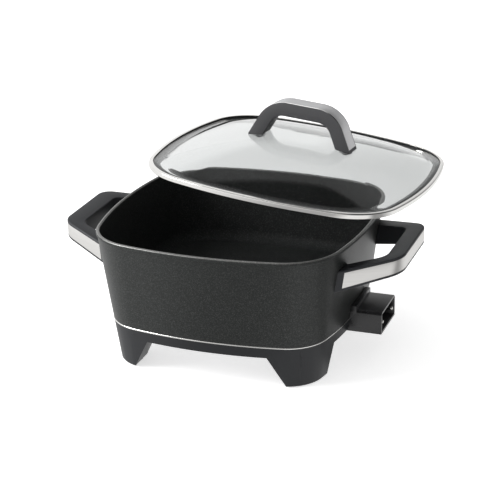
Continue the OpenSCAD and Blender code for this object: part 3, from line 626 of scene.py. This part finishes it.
repeated, given, result, repeat_inputs = shape_tree("part_at_places", Part="Object", Turn="Vector")
part = node(repeated, "GeometryNodeObjectInfo", {"Object": given["Part"]})
turned = node(repeated, "FunctionNodeEulerToRotation", {0: given["Turn"]})
spread = node(repeated, "GeometryNodeInstanceOnPoints", {
    "Points": given["Geometry"], "Instance": part.outputs["Geometry"], "Rotation": turned})
hand_out(repeated, spread, given, result)


def repeat_part(name, shape, places, finish, turn=(0, 0, 0)):
    """Copies of one small part at places in mm, as one piece."""
    part = solid_piece(name + "_part", shape, [finish])
    piece = grow_from(name, places, [], repeated, repeat_inputs,
                      {"Part": part, "Turn": tuple(math.radians(a) for a in turn), "Finish": finish})
    discard(part)
    return piece


def screw_shape(length, shank, head, head_height, steps=36):
    """A pan-head screw: shank down from the origin, rolled thread rings, head with a hex socket."""
    rows = [(shank - 0.5, -length), (shank - 0.1, -length + 0.5)]
    pitch, groove = 0.8, 0.25
    for k in range(int((length - 2) / pitch)):
        z = -length + 0.7 + pitch * k
        rows += [(shank - groove, z), (shank, z + pitch / 2)]
    rows += [(shank, -0.3), (shank, 0), (head - 0.15, 0), (head, 0.15), (head, 0.5 * head_height)]
    rows += [(head * math.cos(a) * 0.5 + head * 0.5, head_height * (0.5 + 0.5 * math.sin(a)))
             for a in angles(0, 90, 4)[1:]]
    rings = [[(x, y, z) for x, y in circle(r, steps)] for r, z in rows]
    for z, share in ((head_height, 0.48), (head_height * 0.5, 0.45)):
        ring = []
        for i in range(steps):
            a = 360 * i / steps
            r = head * share * math.cos(math.radians(30)) / math.cos(math.radians(a % 60 - 30))
            ring.append((r * math.cos(math.radians(a)), r * math.sin(math.radians(a)), z))
        rings.append(ring)
    return loft(rings)


rubber = surface("foot_rubber", moulded_skin, {
    "Grain": 0.35, "Roughness": 0.75, "Spread": 0.1, "Rub": 0.5, "Material": (0.013, 0.013, 0.013)},
    relief=0.3)
zinc_plate = surface("zinc_plate", moulded_skin, {
    "Grain": 0.3, "Roughness": 0.28, "Spread": 0.2, "Rub": 0.15, "Material": (0.60, 0.60, 0.61),
    "Metallic": 1.0}, relief=0.05)
foot_profile = [(6.6, 0)] + bend(7.6, 0.4, 0.4, -90, 90, 3) + bend(7.7, 1.2, 0.3, 0, 90, 3)
foot_profile += [(4.1, 1.5), (4.1, 5.2), (3.8, 5.5)]
feet = repeat_part("rubber_feet",
                   loft([[(x, y, z) for x, y in circle(r, 36)] for r, z in foot_profile]),
                   [(x, y, 0) for x, y in foot_places], rubber)
on_pan(feet, "foot_pads")
base_screws = repeat_part("base_screws_set", screw_shape(15, 1.9, 3.6, 2.6),
                          [(x, y, well_top) for x, y in foot_places], zinc_plate, (180, 0, 0))
on_pan(base_screws, "base_screws")

# Socket: a black phenolic box, open to the side, that takes the nose of the heat control. Its
# tongue goes in under the pan's floor, its collar lies against the wall, and two screws hold it.

tongue_x, mouth_x = 128.0, 171.5
socket_low, socket_high, socket_half, socket_wall = 36.0, 62.0, 29.0, 2.5
glossy_phenolic = surface("glossy_phenolic", moulded_skin, {
    "Grain": 0.6, "Roughness": 0.22, "Spread": 0.14, "Rub": 0.3, "Material": (0.014, 0.014, 0.015),
    "Specular IOR Level": 0.6}, relief=0.06)
outline = [(-socket_half, socket_low), (socket_half, socket_low), (socket_half, socket_high - 3),
           (socket_half - 3, socket_high), (3 - socket_half, socket_high),
           (-socket_half, socket_high - 3)]
socket = solid_piece("probe_socket_box", loft(
    [[(x, y, z) for y, z in outline] for x in (tongue_x, mouth_x)]), [glossy_phenolic])
collar = block((tongue_x, -socket_half, socket_low), (142.5, socket_half, socket_low + 30.5),
               glossy_phenolic)
machine(socket, [collar], "UNION")

wall = solid_piece("wall", round_rim([(wall_out(z) + 0.1, z) for z in (floor_under - 0.1, 70)]),
                   [glossy_phenolic])
tongue_wall = tongue_x + 3
room_low, room_half = socket_low + socket_wall, socket_half - socket_wall
roof_x = pan_half + wall_out(floor_under) + 2.6
rooms = [block((x, -room_half, room_low), (300, room_half, roof), glossy_phenolic)
         for x, roof in ((tongue_wall, 57.4), (roof_x, 59.5))]
holes = [rod((tongue_x - 1, y, z), 5, radius, glossy_phenolic, outwards) for y, z, radius in (
    (-pin_y, pin_height, 4.5), (pin_y, pin_height, 4.5), (socket_screws_y[0], socket_screw_z, 1.8),
    (socket_screws_y[1], socket_screw_z, 1.8), (0, 52, 3.5))]
machine(socket, [wall] + rooms + holes)
soften(socket, 0.5)
on_pan(socket, "connector_shroud")
socket_screws = repeat_part("socket_screws", screw_shape(14, 1.4, 2.6, 1.8),
                            [(tongue_wall, y, socket_screw_z) for y in socket_screws_y],
                            zinc_plate, (0, 90, 0))
on_pan(socket_screws, "shroud_screws")

# Side handles: two phenolic loops that draw in and grow a little thinner away from the pan. Each
# slides over two lugs on the wall, and is screwed to them from below. A seat in its outer face
# takes a strip of brushed steel.

handle_reach, grip_deep = 50.8, 20.4
arms_wide, arm_wide = 158.0, 20.4
outer_splay, inner_splay = 26.5, 22.3
outer_bend, inner_bend = 23, 16
top_at_wall, top_rise = 132.0, 0.2
sole_at_wall, sole_rise = 109.0, 0.26
seat_deep, seat_margin, steel_thickness, steel_start = 0.9, 2.9, 0.8, -5.5
screw_seat, screw_well = 113.0, 4.1


def loop_line(width, splay, reach, radius, starts, steps=16):
    """Outline of a loop: an arm through the starts' places, drawing in, a grip, the other arm."""
    s, c, t = (f(math.radians(splay)) for f in (math.sin, math.cos, math.tan))
    x = reach - radius
    y = width / 2 - x * t - radius / c
    near = [(a, a * t - width / 2) for a in starts]
    near += bend(x, -y, radius, splay - 90, 90 - splay, steps)
    return near + [(x, -y) for x, y in reversed(near)]


def rounded(edge, face, radius, steps=4):
    """A rounded corner of a loop's section: (edge, distance in from it, face, distance up)."""
    sign = -1 if face else 1
    return [(edge, radius * (1 - math.sin(a)), face, sign * radius * (1 - math.cos(a)))
            for a in angles(0, 90, steps)]


def loop_rings(outer, inner, section, seats, place):
    """Rings of a section carried round a loop, from its outer line to its inner one.
    A section's point with no distance takes the depth of the seat there."""
    rings = []
    for (ox, oy), (ix, iy), seat in zip(outer, inner, seats):
        wide = math.hypot(ix - ox, iy - oy)
        ux, uy = (ix - ox) / wide, (iy - oy) / wide
        ring = []
        for edge, inward, face, up in section:
            a, b, sign = (ix, iy, -1) if edge else (ox, oy, 1)
            far = sign * (seat if inward is None else inward)
            ring.append(place(a + ux * far, b + uy * far, face, up))
        rings.append(ring)
    return rings


def handle_place(side):
    """Puts a loop's point at one side of the pan, up from the handle's sole or from its top."""
    def place(x, y, face, up):
        z = top_at_wall + top_rise * x if face else sole_at_wall + sole_rise * x
        return side * (pan_half + x), y, z + up
    return place


def slide_ring(ring, next_ring, test):
    """Slides a ring's points towards the next ring's, as far as a test of their place holds."""
    slid = []
    for point, towards in zip(ring, next_ring):
        low, high = 0.0, 1.0
        for _ in range(30):
            t = (low + high) / 2
            place = [p + (q - p) * t for p, q in zip(point, towards)]
            low, high = (t, high) if test(*place) else (low, t)
        slid.append(place)
    return slid


def wall_test(side):
    """Tells whether a place is still just inside the pan's outer face."""
    return lambda x, y, z: (math.hypot(side * x - pan_half + side_radius, y)
                            < side_radius + wall_out(z) - 0.3)


def lean_test(side, start):
    """Tells whether a place is still on the wall's side of a plane that leans as the wall does."""
    return lambda x, y, z: (side * x - pan_half < start - wall_draft * (
        top_at_wall + top_rise * (side * x - pan_half) - z))


moulded_grip = surface("moulded_grip", moulded_skin, {
    "Grain": 0.45, "Roughness": 0.42, "Spread": 0.14, "Rub": 0.35, "Material": (0.023, 0.024, 0.027),
    "Specular IOR Level": 0.36}, relief=0.12)
brushed_steel = surface("brushed_steel", brushed_metal, {
    "Along": 8.0, "Across": 3000.0, "Roughness": 0.24, "Spread": 0.22, "Streak": 0.18,
    "Metal": (0.80, 0.79, 0.77), "Metallic": 1.0}, relief=0.08)
grip_section = rounded(0, 0, 1.5) + [
    (0, 0, 0, seat_margin), (0, None, 0, seat_margin),
    (0, None, 1, -seat_margin), (0, 0, 1, -seat_margin)]
grip_section += rounded(0, 1, 2.0)[::-1] + rounded(1, 1, 1.0) + rounded(1, 0, 1.5)[::-1]
steel_margin = seat_margin + 0.1
steel_section = rounded(0, 0, 0.2, 2) + rounded(0, 1, 0.2, 2)[::-1]
steel_section += [(0, steel_thickness, 1, 0), (0, steel_thickness, 0, 0)]
steel_section = [(edge, inward, face, up + (-steel_margin if face else steel_margin))
                 for edge, inward, face, up in steel_section]
grip_lines, steel_lines = [
    [loop_line(arms_wide, outer_splay, handle_reach, outer_bend, starts),
     loop_line(arms_wide - 2 * arm_wide, inner_splay, handle_reach - grip_deep, inner_bend, starts)]
    for starts in ((-20, 2, -9), (-9,))]
seats = [0, 0] + [seat_deep] * (len(grip_lines[0]) - 4) + [0, 0]
for side, word in ((-1, "left"), (1, "right")):
    lugs = [place for place in lug_places if place[0] * side > 0]
    rings = loop_rings(*grip_lines, grip_section, seats, handle_place(side))
    for _ in range(2):
        rings[0] = slide_ring(rings[0], rings[1], wall_test(side))
        rings[1] = slide_ring(rings[0], rings[1], lean_test(side, steel_start - 0.1))
        rings[2] = slide_ring(rings[2], rings[3], lean_test(side, steel_start - 0.1))
        rings.reverse()
    handle = solid_piece(word + "_grip", loft(rings), [moulded_grip])
    machine(handle, [rod((*place, 90), screw_seat - 90, screw_well, moulded_grip)
                     for place in lugs])
    on_pan(handle, word + "_handle")
    rings = loop_rings(*steel_lines, steel_section, [0] * len(steel_lines[0]), handle_place(side))
    for _ in range(2):
        rings[0] = slide_ring(rings[0], rings[1], lean_test(side, steel_start))
        rings.reverse()
    strip = solid_piece(word + "_steel_strip", loft(rings), [brushed_steel])
    on_pan(strip, word + "_handle_band")
    handle_screws = repeat_part(word + "_handle_screws_set", screw_shape(12, 1.9, 3.8, 2),
                                [(*place, screw_seat) for place in lugs],
                                zinc_plate, (180, 0, 0))
    on_pan(handle_screws, word + "_handle_screws")

# Lid glass: one pane of tempered glass, pressed into a low dome, with two holes for the handle's
# screws. Its frame has the underside of the steel rim at height 0. The lid is loose, and is shown
# lifted off the pan and tilted.

lid_overhang, band_thickness, gasket_thickness = 4.0, 0.6, 0.6
glass_thickness, glass_low, glass_top = 3.6, 1.2, 32.8
glass_edge = lid_overhang - band_thickness - gasket_thickness
flat_share, shoulder = 0.1, 1.8
lip_out, lip_thickness, lip_space = 7.5, 1.6, 1
arch_foot = 52.5
arch_feet = (-arch_foot, arch_foot)

lift_pole = Vector((0.5174, -0.0291, -0.3479))
lift_axis = Vector((-0.3578, 0.8359, -0.4162))
lift_angle, seated_height = 6.56, 0.1553
lid_place = (Matrix.Translation(lift_pole)
             @ Matrix.Rotation(math.radians(lift_angle), 4, lift_axis)
             @ Matrix.Translation(-lift_pole) @ Matrix.Translation((0, 0, seated_height)))


def on_lid(piece, name, degrees=35):
    """Lifts a piece from the lid's own frame to its place over the pan, to ride on the lid."""
    stand_for(piece, "lid", name, lid_place, degrees)


clear_glass = surface("tempered_glass", moulded_skin, {
    "Grain": 2.0, "Roughness": 0.0, "Spread": 0.03, "Rub": 0.0, "Material": (0.84, 0.86, 0.855),
    "Transmission Weight": 1.0, "IOR": 1.5}, relief=0.01)
dome_start = (pan_half - lip_out - lip_thickness - lip_space) / (pan_half + glass_edge)


def dome_height(share):
    """Height of the glass's underside at a share of the way from its middle to its edge."""
    t = max(0.0, (share - flat_share) / (dome_start - flat_share))
    return glass_low + (glass_top - glass_low - glass_thickness) * (1 - t ** shoulder)


dome = [(share, dome_height(share)) for share in (
    flat_share + (dome_start - flat_share) * i / 30 for i in range(31))]
half_thickness = glass_thickness / 2
edge_bead = [(1 + (math.cos(a) - 1) * 1.2 / pan_half,
              glass_low + half_thickness + half_thickness * math.sin(a))
             for a in angles(-90, 180, 8)]
pane = dome + edge_bead + [(s, z + glass_thickness) for s, z in reversed(dome)]
pane_plan = rim_line(glass_edge)
glass = solid_piece("glass_pane", loft([[(x * s, y * s, z) for x, y in pane_plan] for s, z in pane]),
                    [clear_glass])
machine(glass, [rod((x, 0, 0), 40, shank_hole, clear_glass) for x in arch_feet])
on_lid(glass, "lid_glass", 30)

# Lid rim: a polished steel channel, rolled round the edge of the glass over a silicone lining,
# whose inner lip keeps the lid in place in the pan.

band_height, bend_out = 6.0, 1.4


def channel(out, low, high, radius, steps):
    """Outer half of a channel section, from below to above."""
    return (bend(out - radius, low + radius, radius, -90, 90, steps)
            + bend(out - radius, high - radius, radius, 0, 90, steps))


polished_steel = surface("polished_steel", brushed_metal, {
    "Along": 30.0, "Across": 2600.0, "Roughness": 0.08, "Spread": 0.07, "Streak": 0.04,
    "Metal": (0.86, 0.85, 0.83), "Metallic": 1.0}, relief=0.02)
silicone = surface("dark_silicone", moulded_skin, {
    "Grain": 0.5, "Roughness": 0.5, "Spread": 0.12, "Rub": 0.3, "Material": (0.030, 0.031, 0.032)},
    relief=0.08)
flange_low, flange_top = lid_overhang - 8.5, lid_overhang - 4.5
lip_in, lip_low = -lip_out - lip_thickness, -2.2
skin = 0.03  # thin layer of air between the glass and what lies against it
inside = (lid_overhang - band_thickness, band_thickness, band_height - band_thickness,
          bend_out - band_thickness)
band_section = [(flange_low, 0)] + channel(lid_overhang, 0, band_height, bend_out, 6)
band_section += [(flange_top, band_height), (flange_top, band_height - band_thickness)]
band_section += channel(*inside, 4)[::-1] + [(flange_low, band_thickness)]
band = strip_round("rolled_rim", rim_line(0, 60, 40), True, band_section, polished_steel)
on_lid(band, "lid_band", 40)
lining_section = [(lip_in, lip_low + 0.2), (lip_in + 0.2, lip_low), (-lip_out - 0.2, lip_low),
                  (-lip_out, lip_low + 0.2), (-lip_out, band_thickness)]
lining_section += channel(*inside, 4)
lining_section += [
    (flange_top, band_height - band_thickness), (flange_top, glass_low + glass_thickness + skin),
    (glass_edge + skin, glass_low + glass_thickness + skin),
    (glass_edge + skin, glass_low - skin), (lip_in, glass_low - skin)]
lining = strip_round("rim_lining", rim_line(0, 60, 40), True, lining_section, silicone)
on_lid(lining, "lid_gasket", 40)

# Lid handle: a moulded phenolic arch with a flat front and back and crisp edges. A strip of
# satin metal lies in a seat over the arch and down its two legs.

arch_base, arch_wide, arch_deep, arch_splay = 30.37, 122.0, 25.0, 26
arch_reach, arch_bend = 42.6, 36.6
gap_reach, gap_bend = 26.8, 17
foot_height, foot_fall, foot_wide = 29.36, 0.154, 17.0
inlay_seat = 1.1
matte_phenolic = surface("matte_phenolic", moulded_skin, {
    "Grain": 0.5, "Roughness": 0.50, "Spread": 0.14, "Rub": 0.3, "Material": (0.050, 0.050, 0.053),
    "Specular IOR Level": 0.5}, relief=0.12)
satin_metal = surface("satin_metal", brushed_metal, {
    "Along": 1800.0, "Across": 1800.0, "Roughness": 0.30, "Spread": 0.15, "Streak": 0.10,
    "Metal": (0.62, 0.62, 0.63), "Metallic": 1.0}, relief=0.05)


def arch_place(depth):
    """Stands a loop's point up over the glass, between a front and a back face."""
    def place(up, across, face, along):
        return -across, (depth / 2 if face else -depth / 2) + along, arch_base + up
    return place


def above_pad(x, y, z):
    """Tells whether a place is still under the feet's soles, which slope as the glass does."""
    return z < foot_height + 1 - foot_fall * (abs(x) - arch_foot)


arch_lines, inlay_lines = [
    [loop_line(arch_wide, arch_splay, arch_reach, arch_bend, starts, 24),
     loop_line(arch_wide - 2 * foot_wide, arch_splay, gap_reach, gap_bend, starts, 24)]
    for starts in ((-4, 1.7, 1.7), (1.8,))]
arch_section = rounded(0, 0, 0.25, 3) + [
    (0, 0, 0, 0.45), (0, None, 0, 0.45), (0, None, 1, -0.9), (0, 0, 1, -0.9)]
arch_section += rounded(0, 1, 0.4, 3)[::-1] + rounded(1, 1, 1.0, 4) + rounded(1, 0, 1.0, 4)[::-1]
arch_seats = [0, 0] + [inlay_seat] * (len(arch_lines[0]) - 4) + [0, 0]
rings = loop_rings(*arch_lines, arch_section, arch_seats, arch_place(arch_deep))
for _ in range(2):
    rings[0] = slide_ring(rings[0], rings[1], above_pad)
    rings.reverse()
arch = solid_piece("arch_handle", loft(rings), [matte_phenolic])
machine(arch, [rod((x, 0, foot_height), 8.5, drill_radius, matte_phenolic) for x in arch_feet])
on_lid(arch, "lid_handle")
bright_cut = surface("bright_cut", brushed_metal, {
    "Along": 60.0, "Across": 2500.0, "Roughness": 0.14, "Spread": 0.08, "Streak": 0.06,
    "Metal": (0.92, 0.92, 0.91), "Metallic": 1.0}, relief=0.02)
inlay_section = [(0, 0.55, 0, 0.5), (0, 0, 0, 1.2)] + rounded(0, 1, 0.3, 2)[::-1] + [
    (0, 1.0, 1, 0), (0, 1.0, 0, 0.5)]
rings = loop_rings(*inlay_lines, inlay_section, [0] * len(inlay_lines[0]),
                   arch_place(arch_deep - 2))
inlay = solid_piece("arch_inlay", loft(rings), [satin_metal, bright_cut],
                    lambda middle, normal: 1 if -0.95 < normal.y < -0.3 else 0)
on_lid(inlay, "lid_handle_inlay")

# Lid fixings: a silicone pad under each leg of the arch, and under the glass a wedge washer, whose
# top follows the slope of the glass, and a screw.


def glass_height(x, y):
    """Height of the glass's upper face over a place near the middle line of its right side."""
    c, r = pan_half - side_radius, side_radius + glass_edge
    share = (c * x - math.sqrt((c * x) ** 2 + (r * r - c * c) * (x * x + y * y))) / (c * c - r * r)
    return dome_height(share) + glass_thickness


def both_feet(shape):
    """A shape at the right foot, and its copy turned to the left one."""
    corners, faces = shape
    return (corners + [(-x, -y, z) for x, y, z in corners],
            faces + [tuple(i + len(corners) for i in face) for face in faces])


pad_half = arch_deep / 2
pad_rings = []
for i in range(9):
    x = arch_foot + foot_wide * (i / 8 - 0.5)
    ring = [(x, y, glass_height(x, y) + skin) for y in (-pad_half, -8, -4, 0, 4, 8, pad_half)]
    pad_top = foot_height + 1 - foot_fall * (x - arch_foot)
    pad_rings.append(ring + [(x, pad_half, pad_top), (x, -pad_half, pad_top)])
pads = solid_piece("arch_pads", both_feet(loft(pad_rings)), [silicone])
machine(pads, [rod((x, 0, 28), 4, shank_hole, silicone) for x in arch_feet])
soften(pads, 0.2)
on_lid(pads, "lid_pads")
washer_low, washer_radius = 23.6, 7.5
washer_edge = washer_radius - 0.2
washer_rings = []
for radius, on_glass, up in ((shank_hole, 0, 0), (washer_edge, 0, 0), (washer_radius, 0, 0.2),
                             (washer_radius, 1, -0.25), (washer_edge, 1, -0.05),
                             (shank_hole, 1, -0.05)):
    places = [(arch_foot + x, y) for x, y in circle(radius, 48)]
    washer_rings.append([
        (x, y, up + (glass_height(x, y) - glass_thickness - skin if on_glass else washer_low))
        for x, y in places])
washers = solid_piece("arch_washers", both_feet(loft(washer_rings, True)), [zinc_plate])
on_lid(washers, "lid_washers")
lid_screws = repeat_part("arch_screws", screw_shape(13.3, 1.9, 4, 2.4),
                         [(x, 0, washer_low) for x in arch_feet], zinc_plate, (180, 0, 0))
on_lid(lid_screws, "lid_screws")

# Studio: a white floor and surround, a faint sun, and one wide soft light from above on the left.
# What the object mirrors is graded: the floor by its direction, and the surround by its height,
# white low down, grey higher up and dark above that, with a grey patch overhead.


def grey_ramp(tree, value, stops):
    """The output of a ramp of greys, given as pairs of place and grey."""
    ramp = node(tree, "ShaderNodeValToRGB", {0: value})
    while len(ramp.color_ramp.elements) < len(stops):
        ramp.color_ramp.elements.new(0.5)
    for stop, (place, grey) in zip(ramp.color_ramp.elements, stops):
        stop.position, stop.color = place, (grey, grey, grey, 1)
    return ramp.outputs[0]


floor_finish = bpy.data.materials.new("studio_floor")
floor_finish.use_nodes = True
tree = floor_finish.node_tree
paper = tree.nodes["Principled BSDF"]
paper.inputs["Roughness"].default_value = 0.9
paper.inputs["Specular IOR Level"].default_value = 0.0
paper.inputs["Emission Color"].default_value = (1, 1, 1, 1)
rays = node(tree, "ShaderNodeLightPath")
mirrored = maths(tree, "SUBTRACT", rays.outputs["Is Glossy Ray"], rays.outputs["Is Transmission Ray"])
tone = mix_of(tree, mirrored, (0.80, 0.80, 0.80, 1), (0, 0, 0, 1))
place = node(tree, "ShaderNodeTexCoord")
turn = node(tree, "ShaderNodeTexGradient", {"Vector": place.outputs["Object"]},
            gradient_type="RADIAL")
patches = grey_ramp(tree, turn.outputs["Fac"], (
    (0.14, 1.0), (0.225, 0.45), (0.285, 0.42), (0.35, 0.95), (0.43, 0.90), (0.455, 0.30),
    (0.49, 0.35), (0.55, 0.95)))
glow_seen = 0.62
glow_mirrored = maths(tree, "MULTIPLY", mirrored, patches)
glow = maths(tree, "MULTIPLY_ADD", rays.outputs["Is Camera Ray"], glow_seen, glow_mirrored)
tree.links.new(tone, paper.inputs["Base Color"])
tree.links.new(glow, paper.inputs["Emission Strength"])
floor = block((-9000, -9000, -4), (9000, 9000, -0.1), floor_finish)
floor.name = "studio_paper"

world = bpy.data.worlds.new("studio_surround")
bpy.context.scene.world = world
world.use_nodes = True
tree = world.node_tree
surround = tree.nodes["Background"]
rays = node(tree, "ShaderNodeLightPath")
sky = node(tree, "ShaderNodeTexCoord")
heading = node(tree, "ShaderNodeSeparateXYZ", {0: sky.outputs["Generated"]})
across, upwards = heading.outputs["X"], heading.outputs["Z"]
leftward = maths(tree, "MINIMUM", across, 0.05)
height = maths(tree, "MULTIPLY_ADD", leftward, 1.05, upwards)
backdrop = grey_ramp(tree, height, ((0.06, 1.0), (0.226, 0.62), (0.30, 0.42), (0.40, 0.27)))
height = maths(tree, "MULTIPLY_ADD", across, 0.18, upwards)
below = map_range(tree, height, 0.744, 0.762, 1.0, 0.08)
overhead = map_range(tree, upwards, 0.945, 0.965, 0.0, 0.6)
rightward = map_range(tree, across, 0.15, 0.6, 1.0, 0.4)
reflected = maths(tree, "MULTIPLY_ADD", backdrop, below, overhead)
reflected = maths(tree, "MULTIPLY", reflected, rightward)
diffuse = maths(tree, "MULTIPLY_ADD", across, -0.38, 0.74)
seen = map_range(tree, rays.outputs["Is Camera Ray"], 0.0, 1.0, diffuse, 1.0)
level = map_range(tree, rays.outputs["Is Glossy Ray"], 0.0, 1.0, seen, reflected)
surround.inputs["Color"].default_value = (1, 1, 1, 1)
tree.links.new(level, surround.inputs["Strength"])


def hang(lamp, place, shine):
    """Puts a lamp at a place, in metres, shining along a direction."""
    holder = new_object(lamp.name, lamp)
    holder.location = place
    holder.rotation_euler = shine.to_track_quat("-Z", "Y").to_euler()


sun = bpy.data.lights.new("window_light", "SUN")
sun.energy, sun.angle = 0.35, math.radians(40)
hang(sun, (0, 0, 0), Vector((0.5, -0.1, -1)))
softbox = bpy.data.lights.new("left_softbox", "AREA")
softbox.shape, softbox.size, softbox.size_y, softbox.energy = "RECTANGLE", 1.0, 1.2, 34
softbox_place, softbox_aim = Vector((-1.6, -0.9, 1.2)), Vector((0, 0, 0.1))
hang(softbox, softbox_place, softbox_aim - softbox_place)

# Camera: at the photograph's place, a little turned about its line of sight. Its lens is given by
# the focal length in pixels of a picture 500 pixels wide.

camera_place = (0.5887, -1.5938, 0.7733)
azimuth, elevation, roll = (math.radians(a) for a in (20.05, 21.42, -1.1))
focal_pixels, picture_pixels, sensor = 1588.69, 500, 36

back = Vector((math.sin(azimuth) * math.cos(elevation),
               -math.cos(azimuth) * math.cos(elevation), math.sin(elevation)))
right = Vector((math.cos(azimuth), math.sin(azimuth), 0))
up = back.cross(right)
right, up = (right * math.cos(roll) + up * math.sin(roll),
             up * math.cos(roll) - right * math.sin(roll))
lens = bpy.data.cameras.new("photo_camera")
lens.sensor_width, lens.lens = sensor, focal_pixels / picture_pixels * sensor
lens.clip_end = 50
camera = new_object("photo_camera", lens)
turn = Matrix((right, up, back)).transposed()
camera.matrix_world = Matrix.Translation(camera_place) @ turn.to_4x4()
bpy.context.scene.camera = camera
bpy.context.scene.view_settings.view_transform = "Standard"

bpy.context.view_layer.update()
